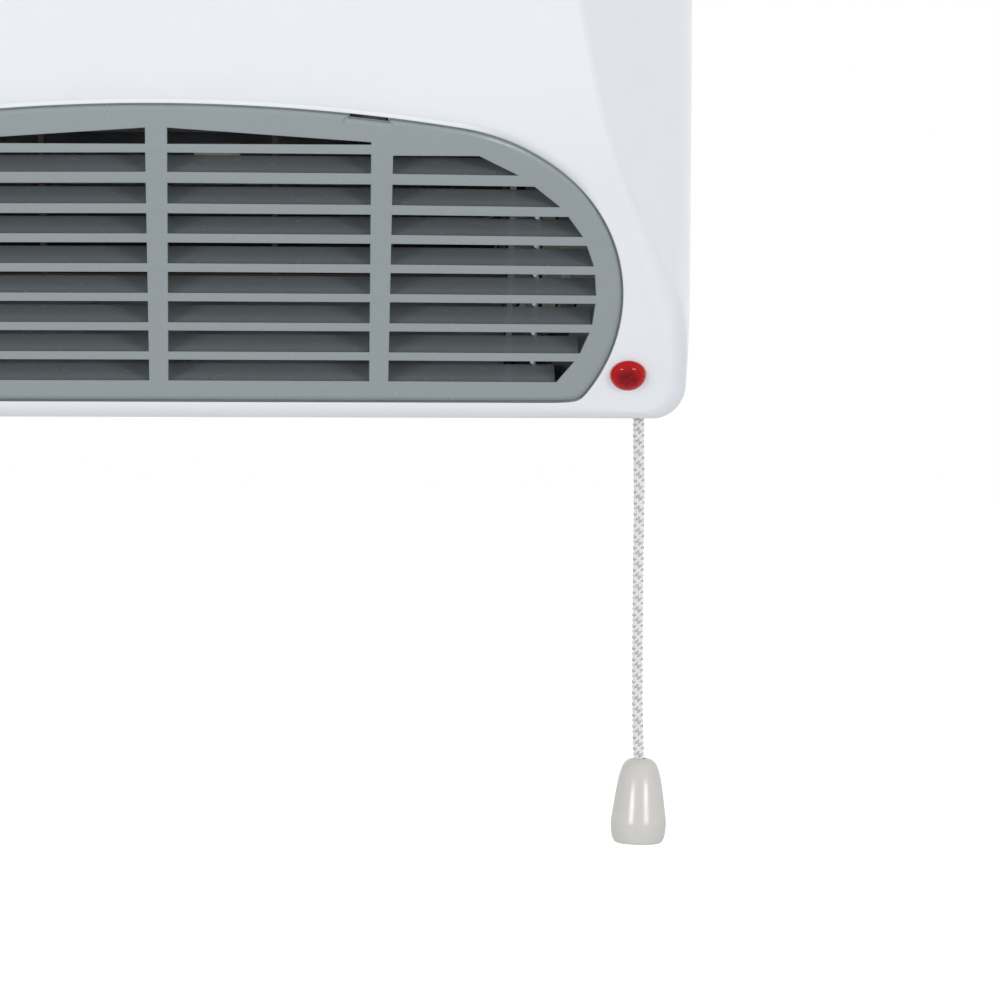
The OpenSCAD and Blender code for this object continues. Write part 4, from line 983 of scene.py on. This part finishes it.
def bevelled(shape, loop, sign, bevel, ledge=0.0):
    """Edge of a loop, as rows of offset and setback, and the wall behind it, which may step
    out by a ledge. Returns the loop where the face starts."""
    rings = []
    for reach, back in bevel:
        place = face_point(back)
        rings.insert(0, shape.add([place(x, z) for x, z in offset(loop, sign * reach)]))
    back = face_point(FACE_T)
    if ledge:
        step = face_point(LEDGE_DEPTH)
        rings.append(shape.add([step(x, z) for x, z in loop]))
        loop_out = offset(loop, ledge)
        rings.append(shape.add([step(x, z) for x, z in loop_out]))
        rings.append(shape.add([back(x, z) for x, z in loop_out]))
    else:
        rings.append(shape.add([back(x, z) for x, z in loop]))
    shape.skin_over(rings)
    return offset(loop, sign * bevel[-1][0])


def grille_face(shape):
    """The face: a plate with rounded openings and a bevelled rim."""
    rim = rim_loop(GRILLE_GAP)
    holes = windows()
    edges = [bevelled(shape, rim, -1, RIM_BEVEL, RIM_LEDGE)]
    edges += [bevelled(shape, hole, 1, HOLE_BEVEL) for hole in holes]
    shape.fill(edges, face_point(0), True, LEVELS)
    shape.fill([offset(rim, RIM_LEDGE)] + holes, face_point(FACE_T), False, LEVELS)


def ribbon(shape, half_of, x, z0, z1, t0, t1, steps=14):
    """An upright rib behind the face, from depth t0 to t1, that follows its lean."""
    rings = []
    for i in range(steps + 1):
        z = mix(z0, z1, i / steps)
        h = half_of(z)
        near, far = face_point(t0), face_point(t1)
        rings.append(shape.add([near(x - h, z), near(x + h, z), far(x + h, z), far(x - h, z)]))
    shape.body(rings)


def skirt(shape):
    """The wall behind the rim, which slides into the casing's opening."""
    outer = rim_loop(SKIRT_OUT, False)
    inner = rim_loop(SKIRT_IN, False)
    near, far = face_point(FACE_T - 0.3), face_point(RIB_DEPTH)
    rings = [shape.add([place(x, z) for x, z in loop])
             for place, loop in ((near, outer), (far, outer), (far, inner), (near, inner))]
    shape.skin_over(rings, True)


def blade(shape, i):
    """A louvre that rises behind its bar. The low ones end beside the slanting frame."""
    z = row_z(i)
    low = z - bar_face(i) + 0.5
    foot = -front(low) + GRILLE_SET + FACE_T
    y = -front(z) + GRILLE_SET + FACE_T
    rise, depth = BLADE_RISE, BLADE_DEPTH
    profile = [(foot - 1, low), (y - 1, z - 0.2), (y - 0.8, z), (y, z + 0.15)]
    for k in range(1, 6):
        profile.append((y + depth * k / 6, z + 0.15 + (rise - 0.15) * (k / 6) ** 0.94))
    profile += [(y + depth - 0.2, z + rise), (y + depth, z + rise - 0.1),
                (y + depth + 0.1, z + rise - 0.4), (y + depth + 0.2, z + rise - BLADE_T),
                (y + 0.8, z - BLADE_T - 0.3), (foot + 0.2, low)]
    end = pane_x(z) - 0.4 if i <= 2 else max(pane_x(z), pane_x(row_top(i))) + 2
    rings = []
    for x in (-end, -UPRIGHT_X, 0, UPRIGHT_X, end):
        fall = droop(x, z)
        back = fall * math.tan(tilt(z))
        rings.append(shape.add([(x, py + back, pz - fall) for py, pz in profile]))
    shape.body(rings)


def tabs(shape, i):
    """Small round tabs under a bar, one near each stiffener."""
    top = row_top(i) - droop(TAB_X, row_top(i))
    if pane_x(top) < TAB_X + 1:
        return
    for x in (-TAB_X, TAB_X):
        ribbon(shape, lambda z: TAB_W / 2 * math.sqrt(clamp01((z - top + TAB_H) / TAB_H)) + 0.02,
               x, top - TAB_H, top + 0.1, 0.2, FACE_T - 0.1, 8)


def end_webs(shape):
    """Angles behind the skirt that close the low corners beside the blades' ends."""
    low, high = OPEN_Z - OPEN_CUT + 2, row_z(3)
    root, near = face_point(RIB_DEPTH - 1), face_point(WEB_DEPTH)
    far = face_point(WEB_DEPTH + WEB_T)
    for s in (-1, 1):
        rings = []
        for k in range(9):
            z = mix(low, high, k / 8)
            inner, outer = pane_x(max(z, SLOT_Z)) - 4, side_reach(z)
            corners = ((inner, near), (outer - 1, near), (outer - 1, root), (outer, root),
                       (outer, far), (inner, far))
            rings.append(shape.add([place(s * x, z) for x, place in corners]))
        shape.body(rings)


def side_reach(z):
    """Half width just outside the skirt at a height."""
    a = bisect(-math.pi / 2, math.pi / 2, lambda a: open_point(a, WEB_SET).y < z)
    return open_point(a, WEB_SET).x


def clips(shape):
    """Hooks of the skirt that catch behind the casing: two at the top and two at the bottom."""
    wall = WALL / math.cos(LOWER_TILT) + 0.6
    for side in (-1, 1):
        hook(shape, side, 54, 1.6, wall + HOOK_SPACE, True)
        hook(shape, side, 80, 0.6, wall, False)


def hook(shape, side, place, reach, near, top):
    """One hook, which reaches past the opening's edge at a depth behind the casing's face."""
    rings = []
    for k in range(5):
        x = place - HOOK_W / 2 + HOOK_W * k / 4
        ends = [hook_z(x, inset, top) for inset in (HOOK_ROOT, -reach)]
        corners = [(z, near + t) for z, t in zip(ends + ends[::-1], (0, 0, HOOK_T, HOOK_T))]
        rings.append(shape.add([(side * x, -front(z) + t, z) for z, t in corners]))
    shape.body(rings)


def hook_z(x, inset, top):
    """Height of the opening's upper or lower edge at a place."""
    low, high = (0.0, math.pi / 2) if top else (-math.pi / 2, 0.0)
    a = bisect(low, high, lambda a: (open_point(a, inset).x > x) == top)
    return open_point(a, inset).y


def grille(finishes):
    """Grey grille: face, ribs, louvres, skirt and clips, one moulding."""
    shape = Shape()
    grille_face(shape)
    skirt(shape)
    for x in (-UPRIGHT_X, 0, UPRIGHT_X):
        top = hook_z(abs(x) + 3, 2, True)
        ribbon(shape, upright_half, x, SLOT_Z - 1, top, FACE_T - 0.5, RIB_DEPTH)
    for x in (-STIFF_X, STIFF_X):
        low, high = hook_z(STIFF_X, 2, False), hook_z(STIFF_X, 2, True)
        ribbon(shape, lambda z: STIFF_W / 2, x, low, high, STIFF_DEPTH, STIFF_DEPTH + STIFF_T)
    for i in range(BAR_COUNT + 1):
        blade(shape, i)
        tabs(shape, i)
    end_webs(shape)
    clips(shape)
    obj = shape.make("grille", [finishes["grey_plastic"]], 30, True)
    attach(obj, "chassis")
    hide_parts("outlet_grille")


# ---- Indicator ----
def lens(finishes):
    """Red lens: a hollow stem in the casing and a polished dome with a small rim."""
    shape = Shape()
    stem = LAMP_D / 2 - 0.7
    r = LAMP_D / 2
    wall = 0.9
    profile = [(stem - wall, -STEM_LEN), (stem, -STEM_LEN), (stem, 0.15), (r - 0.1, 0.15),
               (r, 0.25)]
    for i in range(1, 25):
        a = math.pi / 2 * i / 24
        profile.append((r * math.cos(a), 0.25 + LENS_RISE * math.sin(a)))
    shape.revolve(profile, 96, LAMP_PLACE)
    shape.revolve([(stem - wall, -STEM_LEN), (stem - wall, -0.5), (0, -0.2)], 64, LAMP_PLACE)
    obj = shape.make("indicator", [finishes["red_lens"]])
    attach(obj, "chassis")
    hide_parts("indicator_lens")


# ---- Cord, knots and knob ----
KNOT_Z = -57.6
CORD_ROUTE = ((0, 0, KNOT_Z + 1), (0, 0, -62), (0, 0, -72), (0, 0, -82), (0, 0, -92),
              (0, 0, Z_BOT), (0, 0, -108), (0.2, 0, -120), (0.2, 0, -132), (0.1, 0, -144),
              (0.1, 0, -156), (0.1, 0, -168), (0.2, 0, -180), (0.5, 0, -190),
              (0.9, 0, KNOB_TOP - 6))
CORD_EXIT_POINT = 5
CORD_STEPS = 36
TOP_KNOT_Z = KNOT_Z + 2.8
END_KNOT_Z = KNOB_TOP - 9.3
KNOT_SCALE = 0.52
KNOT_R = 1.25
STRANDS = 4
LAY = 6.0
STRAND_R = 0.42
BRAID_R = 0.98
WEAVE = 0.13


def curve_through(points, steps):
    """Smooth curve through points."""
    p = [Vector(q) for q in points]
    m = len(p) - 1
    out = []
    for i in range(m):
        a, b, c, d = p[max(0, i - 1)], p[i], p[i + 1], p[min(m, i + 2)]
        for k in range(steps):
            t = k / steps
            out.append(0.5 * (2 * b + (c - a) * t + (2 * a - 5 * b + 4 * c - d) * t * t
                              + (3 * b - a - 3 * c + d) * t * t * t))
    return out + [p[m]]


def tube(shape, path, radius, sides, hint):
    """Round strand along a path, closed at both ends."""
    rings = []
    last = len(path) - 1
    for i, p in enumerate(path):
        along = (path[min(last, i + 1)] - path[max(0, i - 1)]).normalized()
        u = along.cross(hint).normalized()
        v = along.cross(u)
        ring = []
        for k in range(sides):
            a = 2 * math.pi * k / sides
            ring.append(p + radius * (u * math.cos(a) + v * math.sin(a)))
        rings.append(shape.add(ring))
    shape.body(rings)


def braid(shape, path):
    """Strands laid over and under each other round a core, along a path close to vertical."""
    length = [0.0]
    for a, b in zip(path, path[1:]):
        length.append(length[-1] + (b - a).length)
    for hand in (-1, 1):
        for k in range(STRANDS):
            # Every other strand of one hand is grey, which makes the cord's diagonal grey flecks
            shape.slot = 1 if hand == 1 and k % 2 == 0 else 0
            strand = []
            for p, s in zip(path, length):
                turn = 2 * math.pi * s / LAY
                a = hand * turn + 2 * math.pi * k / STRANDS
                r = BRAID_R + hand * WEAVE * math.cos(STRANDS * turn)
                strand.append(p + Vector((r * math.cos(a), r * math.sin(a), 0)))
            tube(shape, strand, STRAND_R, 6, Vector((0, 1, 0.2)))
    shape.slot = 0
    tube(shape, path, BRAID_R - 0.1, 10, Vector((0, 1, 0)))


def cord_points():
    """Route of the cord, in steps of about a third of a millimetre, and its step at the exit."""
    foot = Vector((CORD_X, -CORD_DEPTH, 0))
    route = curve_through(CORD_ROUTE, CORD_STEPS)
    return [foot + p for p in route], CORD_EXIT_POINT * CORD_STEPS


def knot(name, x, z, turn, finishes, node):
    """A small overhand knot."""
    shape = Shape()
    path = []
    for i in range(73):
        t = 2 * math.pi * i / 73
        path.append(Vector((math.sin(t) + 2 * math.sin(2 * t), math.cos(t) - 2 * math.cos(2 * t),
                            -1.3 * math.sin(3 * t))) * KNOT_SCALE)
    place = at(x, -CORD_DEPTH, z, ("X", math.pi / 2), ("Z", turn))
    tube(shape, [place @ p for p in path], KNOT_R, 12, Vector((0.13, 0.2, 1)))
    obj = shape.make(name, [finishes["white_cord"]])
    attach(obj, "pull")
    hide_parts(node)
    return obj


def knob(finishes):
    """Acorn knob, hollow for the knot, with a step above its foot."""
    shape = Shape()
    r = KNOB_D / 2
    bore = CORD_D / 2 + 0.25
    core = 3.5
    outside = curve_through([(0.25, 0, 0), (0.40, 0.012, 0), (0.53, 0.042, 0), (0.63, 0.09, 0),
                             (0.70, 0.15, 0), (0.77, 0.24, 0), (0.835, 0.36, 0), (0.89, 0.48, 0),
                             (0.945, 0.61, 0), (0.985, 0.71, 0), (1.0, 0.755, 0)], 5)
    profile = [(bore, -7), (bore, -0.15)]
    profile += [(p.x * r, -p.y * KNOB_H) for p in outside]
    profile += [(r * 0.998, -KNOB_H * 0.80), (r * 0.985, -KNOB_H * 0.86),
                (r * 0.955, -KNOB_H * 0.925), (r * 0.91, -KNOB_H * 0.965),
                (r * 0.86, -KNOB_H * 0.99), (r * 0.80, -KNOB_H), (core + 0.4, -KNOB_H),
                (core, -KNOB_H + 0.4), (core, -6)]
    place = at(KNOB_X, -CORD_DEPTH, KNOB_TOP, ("Y", KNOB_TILT))
    shape.revolve(profile, 96, place)
    shape.revolve([(core, -6), (bore, -6)], 96, place)
    obj = shape.make("knob", [finishes["knob_plastic"]], 38)
    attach(obj, "pull")
    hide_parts("pull_knob")
    return obj


def cord(finishes):
    """Braided cord in two lengths, inside and outside the casing, with its knots and knob."""
    points, exit_step = cord_points()
    strand_finishes = [finishes["white_cord"], finishes["grey_yarn"]]
    inside = Shape()
    braid(inside, points[:exit_step + 1])
    inner = inside.make("cord_inside", strand_finishes, 180)
    outside = Shape()
    path = points[exit_step:]
    braid(outside, path)
    outer = outside.make("cord_outside", strand_finishes, 180)
    for obj in (inner, outer):
        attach(obj, "pull")
        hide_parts("pull_cord")
    end_knot = knot("end_knot", KNOB_X, END_KNOT_Z, 0.4, finishes, "cord_end_knot")
    knot("top_knot", CORD_X, TOP_KNOT_Z, 1.1, finishes, "cord_top_knot")
    knob(finishes)


def build():
    finishes = make_finishes()
    finish_nodes(finishes)
    casing(finishes)
    grille(finishes)
    lens(finishes)
    cord(finishes)
    camera()
    world()
    floor()
    lights()
    bpy.context.scene.view_settings.view_transform = "Standard"


build()
